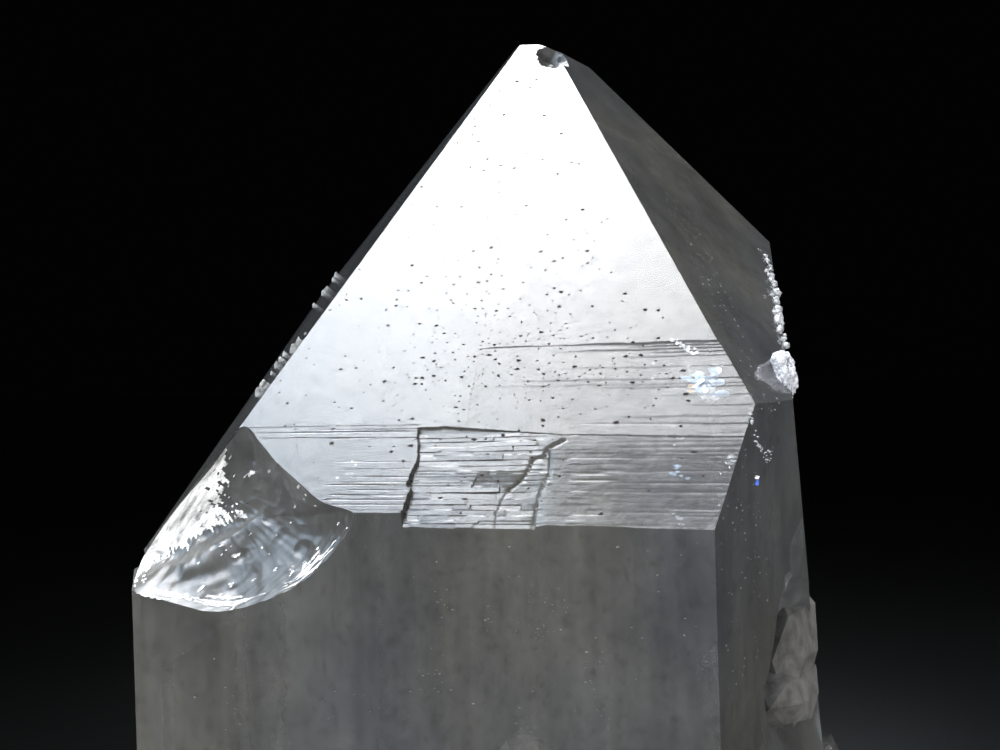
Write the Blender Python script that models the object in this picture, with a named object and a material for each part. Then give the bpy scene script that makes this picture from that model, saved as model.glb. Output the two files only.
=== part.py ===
"""A large clear quartz point with the small crystals that grew on its flanks.

The crystal stands on the flat cut at its foot, with its long axis along Z and its broad bright face
towards -Y. It grew as one piece, so it is one solid. Lengths are written in millimetres beside MM.
"""

import math

import bmesh
import bpy
from mathutils import Euler, Matrix, Vector, noise

MM = 0.001

# The front right corner, where the bright face meets the front and right body faces, seen from the
# middle of the foot. Every face below is placed from it.
CORNER = Vector((18.0, -34.5, 52.0)) * MM
FOOT_DEPTH = 52.0

# Quartz: the tip's six faces rise at this angle, measured as their normals' height above level.
TIP_ELEVATION = 38.2

# Each face: the way it looks (degrees from the front, turning right), the height of its normal
# above level, and its distance from the front right corner.
BRIGHT_FACE = (0.0, TIP_ELEVATION, 0.6)
LEFT_TIP_FACE = (-60.0, TIP_ELEVATION, 28.8)
FRONT_BODY_FACE = (0.0, 0.0, 0.0)
CRYSTAL_FACES = (
    BRIGHT_FACE,
    LEFT_TIP_FACE,
    (60.0, TIP_ELEVATION, 5.15),
    (120.0, TIP_ELEVATION, 38.45),
    (-120.0, TIP_ELEVATION, 62.1),
    (180.0, TIP_ELEVATION, 66.6),
    FRONT_BODY_FACE,
    (60.0, 0.0, 0.0),
    (84.6, 3.4, 6.36),
    (120.0, 0.0, 32.1),
    (180.0, 0.0, 62.0),
    (-120.0, 0.0, 64.2),
    (-90.0, 0.0, 47.0),
    (-60.0, 0.0, 39.6),
)
BLANK_SIZE = 300.0

# The growth plate that steps down on the bright face, drawn on it: x from the corner, and up the slope.
SHELF_STEP = (
    (-22.9, -2.0),
    (-22.8, 1.4),
    (-22.5, 2.8),
    (-22.9, 3.2),
    (-22.7, 4.1),
    (-22.5, 6.3),
    (-22.7, 8.5),
    (-18.3, 8.4),
    (-11.2, 7.6),
)
SHELF_DEPTH = 0.38
LOW_SHELF_STEP = (
    (-17.8, -2.0),
    (-17.6, 1.4),
    (-17.9, 3.1),
    (-14.9, 3.1),
    (-13.6, 4.4),
    (-13.2, 5.6),
    (-12.0, 6.2),
)
LOW_SHELF_DEPTH = 0.57
HIGH_SHELF_STEP = ((-24.0, -2.0), (-24.0, 14.6), (-19.0, 16.6))
HIGH_SHELF_DEPTH = 0.36
SHELF_RIGHT = 14.0

# The shell-shaped chip at the front left corner: its rim from the corner, right end first, then
# along the front body face, up the left side and down the bright face.
CHIP_RIM = (
    (-26.7, 0.0, 1.0),
    (-27.2, 0.0, -0.6),
    (-28.6, 0.0, -2.3),
    (-30.3, 0.0, -3.9),
    (-32.4, 0.0, -5.2),
    (-35.6, 0.0, -6.4),
    (-38.8, 0.0, -6.9),
    (-42.0, 0.0, -6.3),
    (-45.3, 0.0, -5.6),
    (-47.0, 3.0, -4.1),
    (-46.3, 4.6, -1.8),
    (-43.9, 5.0, 1.2),
    (-41.3, 5.1, 3.9),
    (-38.3, 5.1, 7.3),
    (-36.2, 4.0, 6.1),
    (-34.2, 2.8, 4.6),
    (-31.8, 1.7, 3.1),
    (-29.4, 0.6, 1.7),
)
CHIP_MIDDLE = (-37.6, 2.6, 0.8)
CHIP_OUTWARD = (-0.230, -0.893, 0.388)
CHIP_DEPTH = 2.3
CHIP_RIM_STEPS = 72
CHIP_RINGS = 14
CHIP_RIPPLES = 5.0
CHIP_RIPPLE_HEIGHT = 0.13
CHIP_CLEARANCE = 5.0

# The broken tip: a small slanted break, and a shell-shaped nick on its right.
TIP_BREAK = (17.0, 74.3, 36.2)
TIP_NICK_PLACE = (-14.9, 36.2, 48.3)
TIP_NICK_SIZE = (1.8, 2.0, 2.3)

# Broken edges and terraces on the hidden sides: middle, size and turn about Z.
LEDGES = (
    ((-4.0, 63.6, -4.0), (30.0, 5.0, 60.0), 0.0),
    ((-33.0, 63.4, 12.0), (18.0, 4.0, 30.0), 0.0),
    ((12.2, 27.0, -38.0), (10.0, 18.0, 22.0), -3.0),
    ((-49.2, 20.0, -30.0), (6.0, 20.0, 34.0), 1.5),
)

# Small points grown on the flanks: foot, lean (degrees about X, Y and Z), half width, length, and
# how much the middle of the tip is off to one side.
SIDE_CRYSTALS = (
    ("right_upper", (6.2, 20.0, -18.3), (-2.0, -6.0, 12.0), 4.1, 13.4, 0.9),
    ("right_lower", (4.2, 18.5, -66.0), (-2.0, 4.0, 40.0), 4.8, 46.0, -0.7),
    ("right_foot", (2.6, 32.0, -66.0), (-6.0, 17.0, 5.0), 6.4, 42.0, 0.6),
    ("right_back", (0.0, 48.0, -66.0), (-10.0, 10.0, 22.0), 5.8, 52.0, -1.0),
    ("back_low", (-20.0, 58.0, -66.0), (-12.0, -3.0, 8.0), 6.2, 38.0, 0.8),
    ("left_parallel", (-44.5, 39.0, -64.0), (0.0, -1.5, 3.0), 7.4, 82.0, 1.4),
    ("left_foot", (-41.0, 25.0, -66.0), (4.0, -14.0, 14.0), 5.0, 32.0, -0.5),
    ("front_foot", (-9.0, 4.5, -66.0), (9.0, 5.0, 33.0), 4.6, 27.0, 0.4),
)

# The broken edge between the right body faces: the middle and sizes of each hollow it left.
EDGE_BREAKS = (
    ((13.6, 8.6, -15.5), (10.4, 10.4, 13.0), 0.08),
    ((15.4, 9.8, -31.0), (9.0, 10.5, 15.0), 0.16),
)

# Frosted beads down the right edge of the tip, and the lump at their lower end.
BEAD_RUN = ((8.7, 40.5, 24.1), (7.2, 18.5, 11.8))
BEAD_COUNT = 11
BEAD_RADIUS = 0.75
LUMP_PLACE = (6.6, 14.4, 10.1)
LUMP_SIZE = (1.3, 2.0, 2.3)

QUARTZ_COLOUR = (0.52, 0.53, 0.55, 1.0)
QUARTZ_ROUGHNESS = 0.08
MERGE_DISTANCE = 1e-6


def clear_scene():
    """Remove every object, so that the model starts from nothing."""
    for item in list(bpy.data.objects):
        bpy.data.objects.remove(item, do_unlink=True)


def make_collection(name):
    """A new collection in the scene."""
    collection = bpy.data.collections.new(name)
    bpy.context.scene.collection.children.link(collection)
    return collection


def place(point):
    """A point given in millimetres from the front right corner, in metres in the model."""
    return CORNER + Vector(point) * MM


def face_normal(azimuth, elevation):
    """The outward direction of a face that looks along azimuth, raised by elevation."""
    turn = math.radians(azimuth)
    rise = math.radians(elevation)
    return Vector((math.sin(turn) * math.cos(rise), -math.cos(turn) * math.cos(rise), math.sin(rise)))


def make_object(name, bm, collection):
    """Turn a bmesh into an object with clean outward faces."""
    bmesh.ops.remove_doubles(bm, verts=bm.verts, dist=MERGE_DISTANCE)
    bmesh.ops.recalc_face_normals(bm, faces=bm.faces)
    mesh = bpy.data.meshes.new(name)
    bm.to_mesh(mesh)
    bm.free()
    item = bpy.data.objects.new(name, mesh)
    collection.objects.link(item)
    return item


def cleave(bm, centre, faces):
    """Cut a solid down to its crystal faces, each at its distance from the centre."""
    for azimuth, elevation, distance in faces:
        normal = face_normal(azimuth, elevation)
        cut = bmesh.ops.bisect_plane(
            bm,
            geom=bm.verts[:] + bm.edges[:] + bm.faces[:],
            dist=1e-8,
            plane_co=centre + normal * distance * MM,
            plane_no=normal,
            clear_outer=True,
        )
        rim = [part for part in cut["geom_cut"] if isinstance(part, bmesh.types.BMEdge)]
        bmesh.ops.edgeloop_fill(bm, edges=rim)


def crystal_body(name, collection):
    """The broad point itself: a blank cut to its body faces, its tip faces and its foot."""
    bm = bmesh.new()
    bmesh.ops.create_cube(bm, size=BLANK_SIZE * MM)
    bmesh.ops.translate(bm, verts=bm.verts, vec=CORNER)
    cleave(bm, CORNER, CRYSTAL_FACES + (TIP_BREAK, (0.0, -90.0, FOOT_DEPTH)))
    return make_object(name, bm, collection)


def side_crystal(name, foot, lean, half_width, length, offset, collection):
    """A small six-sided point that leans out of the body, cut level with the foot of the whole."""
    bm = bmesh.new()
    bmesh.ops.create_cube(bm, size=BLANK_SIZE * MM)
    faces = [(0.0, -90.0, 0.0)]
    for side in range(6):
        azimuth = 60.0 * side + 15.0
        width = half_width * (1.0 + 0.16 * math.sin(2.3 * side + offset))
        faces.append((azimuth, 0.0, width))
        peak = length - half_width * (0.35 * math.sin(1.7 * side + offset) + 0.35)
        faces.append((azimuth, TIP_ELEVATION, peak * math.sin(math.radians(TIP_ELEVATION))))
    cleave(bm, Vector((0.0, 0.0, 0.0)), faces)
    turn = Euler([math.radians(angle) for angle in lean], "XYZ").to_matrix().to_4x4()
    bmesh.ops.transform(bm, matrix=Matrix.Translation(place(foot)) @ turn, verts=bm.verts)
    if place(foot).z < 0.0:
        cleave(bm, CORNER, ((0.0, -90.0, FOOT_DEPTH),))
    return make_object(name, bm, collection)


def rough_ball(name, middle, size, roughness, seed, subdivisions, collection):
    """A ball with its sizes along X, Y and Z, and an uneven surface."""
    bm = bmesh.new()
    bmesh.ops.create_icosphere(bm, subdivisions=subdivisions, radius=1.0)
    for vert in bm.verts:
        wobble = noise.noise(vert.co * 1.7 + Vector((seed, 3.1 * seed, 0.0)))
        vert.co *= 1.0 + roughness * wobble
        vert.co = Vector((vert.co.x * size[0], vert.co.y * size[1], vert.co.z * size[2])) * MM
    bmesh.ops.translate(bm, verts=bm.verts, vec=place(middle))
    return make_object(name, bm, collection)


def extrude_outline(name, outline, matrix, depth_low, depth_high, collection):
    """A prism: an outline in the matrix's plane, raised from depth_low to depth_high along its Z."""
    bm = bmesh.new()
    floor = [bm.verts.new((u * MM, v * MM, depth_low(u, v) * MM)) for u, v in outline]
    roof = [bm.verts.new((u * MM, v * MM, depth_high * MM)) for u, v in outline]
    bm.faces.new(floor)
    bm.faces.new(roof)
    for here in range(len(outline)):
        after = (here + 1) % len(outline)
        bm.faces.new((floor[here], floor[after], roof[after], roof[here]))
    bmesh.ops.transform(bm, matrix=matrix, verts=bm.verts)
    bmesh.ops.triangulate(bm, faces=bm.faces)
    return make_object(name, bm, collection)


def bright_face_frame():
    """Axes on the bright face: x to the right, y up the slope, z outward, from its lower edge."""
    across = Vector((1.0, 0.0, 0.0))
    outward = face_normal(BRIGHT_FACE[0], BRIGHT_FACE[1])
    upward = outward.cross(across)
    turn = Matrix((across, upward, outward)).transposed().to_4x4()
    return Matrix.Translation(CORNER + outward * BRIGHT_FACE[2] * MM) @ turn


def shelf_cutters(collection):
    """The cutters that lower the bright face in three terraces towards its lower right."""
    frame = bright_face_frame()

    def high_depth(u, v):
        return -HIGH_SHELF_DEPTH if u > 0.0 else 0.02

    def even_depth(depth):
        return lambda u, v: -depth

    high = HIGH_SHELF_STEP + ((SHELF_RIGHT, HIGH_SHELF_STEP[-1][1]), (SHELF_RIGHT, -2.0))
    middle = SHELF_STEP + ((SHELF_RIGHT, SHELF_STEP[-1][1]), (SHELF_RIGHT, -2.0))
    low = LOW_SHELF_STEP + ((SHELF_RIGHT, LOW_SHELF_STEP[-1][1]), (SHELF_RIGHT, -2.0))
    yield extrude_outline("cut_high_shelf", high, frame, high_depth, 2.0, collection)
    yield extrude_outline("cut_shelf", middle, frame, even_depth(SHELF_DEPTH), 2.0, collection)
    yield extrude_outline("cut_low_shelf", low, frame, even_depth(LOW_SHELF_DEPTH), 2.0, collection)


def smooth_ring(points, steps):
    """Points evenly placed along a closed Catmull-Rom curve."""
    ring = []
    count = len(points)
    for step in range(steps):
        along = step * count / steps
        here = int(along)
        part = along - here
        before, start, end, after = (Vector(points[(here + shift) % count]) for shift in (-1, 0, 1, 2))
        ring.append(
            0.5
            * (
                2.0 * start
                + (end - before) * part
                + (2.0 * before - 5.0 * start + 4.0 * end - after) * part**2
                + (3.0 * start - before - 3.0 * end + after) * part**3
            )
        )
    return ring


def chip_cutter(collection):
    """The body that the chip took away: a rippled bowl under the rim, open to the outside."""
    outward = Vector(CHIP_OUTWARD).normalized()
    middle = Vector(CHIP_MIDDLE)
    rim = smooth_ring(CHIP_RIM, CHIP_RIM_STEPS)
    bm = bmesh.new()
    rings = [[bm.verts.new(place(point + outward * CHIP_CLEARANCE)) for point in rim]]
    for step in range(CHIP_RINGS, 0, -1):
        reach = step / CHIP_RINGS
        sunk = CHIP_DEPTH * (1.0 - reach**2.6)
        ripple = CHIP_RIPPLE_HEIGHT * math.cos(2.0 * math.pi * CHIP_RIPPLES * reach) * reach
        if step == CHIP_RINGS:
            ripple = 0.0
        depth = outward * (sunk + ripple)
        rings.append([bm.verts.new(place(middle.lerp(point, reach) - depth)) for point in rim])
    for outer, inner in zip(rings, rings[1:]):
        for here in range(CHIP_RIM_STEPS):
            after = (here + 1) % CHIP_RIM_STEPS
            bm.faces.new((outer[here], outer[after], inner[after], inner[here]))
    bottom = bm.verts.new(place(middle - outward * CHIP_DEPTH))
    top = bm.verts.new(place(middle + outward * CHIP_CLEARANCE))
    for here in range(CHIP_RIM_STEPS):
        after = (here + 1) % CHIP_RIM_STEPS
        bm.faces.new((rings[-1][here], rings[-1][after], bottom))
        bm.faces.new((rings[0][after], rings[0][here], top))
    bmesh.ops.triangulate(bm, faces=bm.faces)
    return make_object("cut_chip", bm, collection)


def ledge_cutter(number, middle, size, turn, collection):
    """A block that leaves a step on a body face."""
    bm = bmesh.new()
    bmesh.ops.create_cube(bm, size=1.0)
    bmesh.ops.scale(bm, verts=bm.verts, vec=Vector(size) * MM)
    matrix = Matrix.Translation(place(middle)) @ Matrix.Rotation(math.radians(turn), 4, "Z")
    bmesh.ops.transform(bm, matrix=matrix, verts=bm.verts)
    return make_object(f"cut_ledge_{number}", bm, collection)


def combine(body, tool, operation):
    """Join a tool to the body, or cut it away, and hide the tool."""
    step = body.modifiers.new(tool.name, "BOOLEAN")
    step.operation = operation
    step.solver = "EXACT"
    step.object = tool
    tool.hide_render = True
    tool.display_type = "WIRE"


def quartz_material():
    """Clear, slightly smoky quartz."""
    material = bpy.data.materials.new("quartz")
    material.use_nodes = True
    shader = material.node_tree.nodes["Principled BSDF"]
    shader.inputs["Base Color"].default_value = QUARTZ_COLOUR
    shader.inputs["Roughness"].default_value = QUARTZ_ROUGHNESS
    shader.inputs["Metallic"].default_value = 0.0
    return material


def main():
    """Build the crystal, cut its steps, chips and nicks, and grow the small crystals on it."""
    clear_scene()
    parts = make_collection("quartz cluster")
    tools = make_collection("tools")
    body = crystal_body("quartz_crystal", parts)
    body.data.materials.append(quartz_material())

    for cutter in shelf_cutters(tools):
        combine(body, cutter, "DIFFERENCE")
    combine(body, chip_cutter(tools), "DIFFERENCE")
    nick = rough_ball("cut_tip_nick", TIP_NICK_PLACE, TIP_NICK_SIZE, 0.2, 5.0, 2, tools)
    combine(body, nick, "DIFFERENCE")
    for number, (middle, size, roughness) in enumerate(EDGE_BREAKS):
        hollow = rough_ball(f"cut_edge_{number}", middle, size, roughness, 2.0 + number, 3, tools)
        combine(body, hollow, "DIFFERENCE")
    for number, (middle, size, turn) in enumerate(LEDGES):
        combine(body, ledge_cutter(number, middle, size, turn, tools), "DIFFERENCE")

    for name, foot, lean, half_width, length, offset in SIDE_CRYSTALS:
        growth = side_crystal(f"grow_{name}", foot, lean, half_width, length, offset, tools)
        combine(body, growth, "UNION")
    start, end = (Vector(point) for point in BEAD_RUN)
    for number in range(BEAD_COUNT):
        along = (number + 0.35 * math.sin(5.3 * number)) / (BEAD_COUNT - 1)
        swell = 1.0 + 0.45 * math.sin(4.1 * number)
        size = Vector((0.8, 1.5, 1.1)) * BEAD_RADIUS * swell
        bead = rough_ball(f"grow_bead_{number}", start.lerp(end, along), size, 0.5, number, 1, tools)
        combine(body, bead, "UNION")
    lump = rough_ball("grow_lump", LUMP_PLACE, LUMP_SIZE, 0.5, 11.0, 2, tools)
    combine(body, lump, "UNION")


main()
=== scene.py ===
"""A large clear quartz point with small crystals on its flanks, dressed for a dark studio.

Lengths in the dataclasses are millimetres. Places are measured from the front right corner of the
crystal, where the bright tip face meets the front and right body faces.
"""

import logging
import math
import random
from dataclasses import dataclass, field
from enum import Enum
from typing import Iterable, Protocol, Sequence

import bmesh
import bpy
import numpy as np
from mathutils import Euler, Matrix, Vector, noise


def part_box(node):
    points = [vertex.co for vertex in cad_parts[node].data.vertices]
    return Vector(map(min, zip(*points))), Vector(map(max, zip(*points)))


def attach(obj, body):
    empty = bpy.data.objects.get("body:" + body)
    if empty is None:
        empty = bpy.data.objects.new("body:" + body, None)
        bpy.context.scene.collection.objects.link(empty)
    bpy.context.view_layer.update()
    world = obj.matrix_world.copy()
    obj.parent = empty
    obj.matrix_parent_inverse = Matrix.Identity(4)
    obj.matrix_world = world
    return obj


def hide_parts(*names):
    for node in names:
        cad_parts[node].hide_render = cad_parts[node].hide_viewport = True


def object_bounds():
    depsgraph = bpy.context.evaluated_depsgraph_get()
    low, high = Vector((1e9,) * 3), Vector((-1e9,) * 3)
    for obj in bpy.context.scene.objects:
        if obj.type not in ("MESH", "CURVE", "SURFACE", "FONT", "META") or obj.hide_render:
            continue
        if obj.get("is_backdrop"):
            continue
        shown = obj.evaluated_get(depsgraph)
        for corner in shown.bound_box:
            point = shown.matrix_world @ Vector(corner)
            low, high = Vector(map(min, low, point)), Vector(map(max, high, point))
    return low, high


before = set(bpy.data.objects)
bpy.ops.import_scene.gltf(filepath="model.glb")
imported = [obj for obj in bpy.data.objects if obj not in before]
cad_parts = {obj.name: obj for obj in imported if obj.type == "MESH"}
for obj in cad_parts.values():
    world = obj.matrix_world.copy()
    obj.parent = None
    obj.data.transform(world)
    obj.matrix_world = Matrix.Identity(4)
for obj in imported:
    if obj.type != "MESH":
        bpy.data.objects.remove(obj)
CAD_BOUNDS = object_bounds()

NODE = "quartz_crystal"
ROOT_BODY = "root"
MM = 0.001
TIP_ELEVATION = 38.2
QUARTZ_IOR = 1.544
WHITE = (1.0, 1.0, 1.0)

Point = tuple[float, float, float]
Pair = tuple[float, float]
Colour = tuple[float, float, float, float]

log = logging.getLogger("quartz")


class Zone(Enum):
    """What made a stretch of the crystal's surface."""

    BODY = "grown face"
    TERRACE = "stepped growth"
    BREAK = "fresh break"
    # Etch pit faces; the crystal's material paints them near black, as painted shade.
    PIT = "dark etch pit"
    SIDE = "small crystal"


@dataclass(frozen=True)
class FacePlane:
    """One flat crystal face, placed from the front right corner.

    Azimuth is where it looks, in degrees turning right from the front. Elevation is the height of its
    normal above level, and distance is how far out it lies.
    """

    azimuth: float
    elevation: float
    distance: float

    @property
    def normal(self) -> Vector:
        """The face's outward direction."""
        turn = math.radians(self.azimuth)
        rise = math.radians(self.elevation)
        flat = math.cos(rise)
        return Vector((math.sin(turn) * flat, -math.cos(turn) * flat, math.sin(rise)))


@dataclass(frozen=True)
class Datum:
    """Turns millimetres from the front right corner into places in the model."""

    origin: Vector

    @classmethod
    def measured(cls, corner: Point = (18.0, -34.5, 52.0)) -> "Datum":
        """Find the corner from the CAD model.

        Args:
            corner: its place in millimetres from the middle of the CAD foot.

        Returns:
            The datum.
        """
        low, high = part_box(NODE)
        middle = Vector(((low[0] + high[0]) / 2, (low[1] + high[1]) / 2, low[2]))
        return cls(middle + Vector(corner) * MM)

    def at(self, point: Sequence[float]) -> Vector:
        """A place in metres.

        Args:
            point: millimetres from the corner.

        Returns:
            The place in the model.
        """
        return self.origin + Vector(point) * MM


DATUM = Datum.measured()
FOOT_DEPTH = 52.0
BRIGHT_FACE = FacePlane(0.0, TIP_ELEVATION, 0.6)
TIP_BREAK = FacePlane(17.0, 74.3, 36.6)
TIP_SLOPE = FacePlane(70.3, 63.5, 31.6)
FOOT = FacePlane(0.0, -90.0, FOOT_DEPTH)
TIP_FACES = (
    FacePlane(-60.0, TIP_ELEVATION, 28.8),
    FacePlane(60.0, TIP_ELEVATION, 5.15),
    FacePlane(120.0, TIP_ELEVATION, 38.45),
    FacePlane(-120.0, TIP_ELEVATION, 62.1),
    FacePlane(180.0, TIP_ELEVATION, 66.6),
)
FRONT_FACE = FacePlane(0.0, 0.0, 0.0)
RIGHT_FRONT_FACE = FacePlane(60.0, 0.0, 0.0)
FLANKS = (
    FacePlane(84.6, 3.4, 6.36),
    FacePlane(120.0, 0.0, 32.1),
    FacePlane(180.0, 0.0, 62.0),
    FacePlane(-120.0, 0.0, 64.2),
    FacePlane(-90.0, 0.0, 47.0),
    FacePlane(-60.0, 0.0, 39.6),
)


def smoothstep(low: float, high: float, value: np.ndarray) -> np.ndarray:
    """A soft step from 0 at low to 1 at high.

    Args:
        low: where the step starts.
        high: where it ends.
        value: the values to step.

    Returns:
        The stepped values.
    """
    part = np.clip((value - low) / (high - low), 0.0, 1.0)
    return part * part * (3.0 - 2.0 * part)


def closed_curve(points: Sequence[Point], steps: int) -> list[Vector]:
    """Even steps along a closed Catmull-Rom curve.

    Args:
        points: the curve's own points.
        steps: how many points to give back.

    Returns:
        Points along the curve.
    """
    ring = []
    count = len(points)
    for step in range(steps):
        along = step * count / steps
        here = int(along)
        part = along - here
        before, start, end, after = (Vector(points[(here + shift) % count]) for shift in (-1, 0, 1, 2))
        bend = (2.0 * before - 5.0 * start + 4.0 * end - after) * part**2
        twist = (3.0 * start - before - 3.0 * end + after) * part**3
        ring.append(0.5 * (2.0 * start + (end - before) * part + bend + twist))
    return ring


def segment_distance(u: np.ndarray, v: np.ndarray, path: Sequence[Pair]) -> np.ndarray:
    """How far each point lies from a line of straight runs.

    Args:
        u: the points' first coordinates.
        v: their second coordinates.
        path: the corners of the line.

    Returns:
        The distances.
    """
    nearest = np.full(u.shape, np.inf)
    for (u0, v0), (u1, v1) in zip(path, path[1:]):
        run_u, run_v = u1 - u0, v1 - v0
        part = ((u - u0) * run_u + (v - v0) * run_v) / (run_u**2 + run_v**2)
        part = np.clip(part, 0.0, 1.0)
        nearest = np.minimum(nearest, np.hypot(u - u0 - part * run_u, v - v0 - part * run_v))
    return nearest


def inside_outline(u: np.ndarray, v: np.ndarray, outline: Sequence[Pair]) -> np.ndarray:
    """Which points lie inside a closed outline.

    Args:
        u: the points' first coordinates.
        v: their second coordinates.
        outline: the outline's corners.

    Returns:
        True where a point is inside.
    """
    inside = np.zeros(u.shape, dtype=bool)
    for (u0, v0), (u1, v1) in zip(outline, tuple(outline[1:]) + (outline[0],)):
        if v0 == v1:
            continue
        crossing = (v0 > v) != (v1 > v)
        inside ^= crossing & (u < (u1 - u0) * (v - v0) / (v1 - v0) + u0)
    return inside


class Workshop:
    """Makes mesh objects, cuts them and joins them."""

    markers: dict[Zone, bpy.types.Material] = {}

    @classmethod
    def marker(cls, zone: Zone) -> bpy.types.Material:
        """The stand-in material that marks a zone until the crystal is dressed.

        Args:
            zone: the zone.

        Returns:
            The zone's own material.
        """
        if zone not in cls.markers:
            cls.markers[zone] = bpy.data.materials.new(zone.name)
        return cls.markers[zone]

    @classmethod
    def object_from(cls, name: str, bm: bmesh.types.BMesh, zone: Zone | None = None) -> bpy.types.Object:
        """Turn a bmesh into an object with outward faces.

        Args:
            name: the object's name.
            bm: the mesh in work, which is freed.
            zone: what made its surface.

        Returns:
            The new object.
        """
        bmesh.ops.recalc_face_normals(bm, faces=bm.faces)
        mesh = bpy.data.meshes.new(name)
        bm.to_mesh(mesh)
        bm.free()
        if zone is not None:
            mesh.materials.append(cls.marker(zone))
        item = bpy.data.objects.new(name, mesh)
        bpy.context.scene.collection.objects.link(item)
        return item

    @staticmethod
    def apply(target: bpy.types.Object, tool: bpy.types.Object, operation: str) -> None:
        """Cut a tool from a target or join it on, and use the tool up.

        Args:
            target: the object that is changed.
            tool: the closed body that cuts or joins.
            operation: DIFFERENCE or UNION.
        """
        name = tool.name
        step = target.modifiers.new(name, "BOOLEAN")
        step.operation = operation
        step.solver = "EXACT"
        step.material_mode = "TRANSFER"
        step.object = tool
        ready = target.evaluated_get(bpy.context.evaluated_depsgraph_get())
        mesh = bpy.data.meshes.new_from_object(ready)
        target.modifiers.clear()
        old = target.data
        target.data = mesh
        bpy.data.meshes.remove(old)
        tool_mesh = tool.data
        bpy.data.objects.remove(tool, do_unlink=True)
        bpy.data.meshes.remove(tool_mesh)
        log.info("%s %s: %d faces", operation.lower(), name, len(mesh.polygons))

    @staticmethod
    def cleave(bm: bmesh.types.BMesh, centre: Vector, planes: Iterable[FacePlane]) -> None:
        """Cut a closed mesh down to crystal faces.

        Args:
            bm: the mesh in work.
            centre: the place the faces' distances start from.
            planes: the faces.
        """
        for plane in planes:
            cut = bmesh.ops.bisect_plane(
                bm,
                geom=bm.verts[:] + bm.edges[:] + bm.faces[:],
                dist=1e-8,
                plane_co=centre + plane.normal * plane.distance * MM,
                plane_no=plane.normal,
                clear_outer=True,
            )
            rim = [part for part in cut["geom_cut"] if isinstance(part, bmesh.types.BMEdge)]
            bmesh.ops.edgeloop_fill(bm, edges=rim)

    @staticmethod
    def add_grid(bm: bmesh.types.BMesh, points: np.ndarray) -> list[list[bmesh.types.BMVert]]:
        """Add a sheet of quads.

        Args:
            bm: the mesh in work.
            points: rows by columns by three coordinates, in metres.

        Returns:
            The sheet's vertices, row by row.
        """
        rows = [[bm.verts.new(point) for point in row] for row in points]
        for low, high in zip(rows, rows[1:]):
            for here in range(len(low) - 1):
                bm.faces.new((low[here], low[here + 1], high[here + 1], high[here]))
        return rows


@dataclass(frozen=True)
class Groove:
    """A crack or groove across the bright face: its line, its depth and its half width."""

    path: tuple[Pair, ...]
    depth: float
    width: float


@dataclass(frozen=True)
class Terrace:
    """A growth step of the bright face, from a start on its row and deeper towards the right."""

    row: float
    start: float
    fade: float
    drop: float


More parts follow.
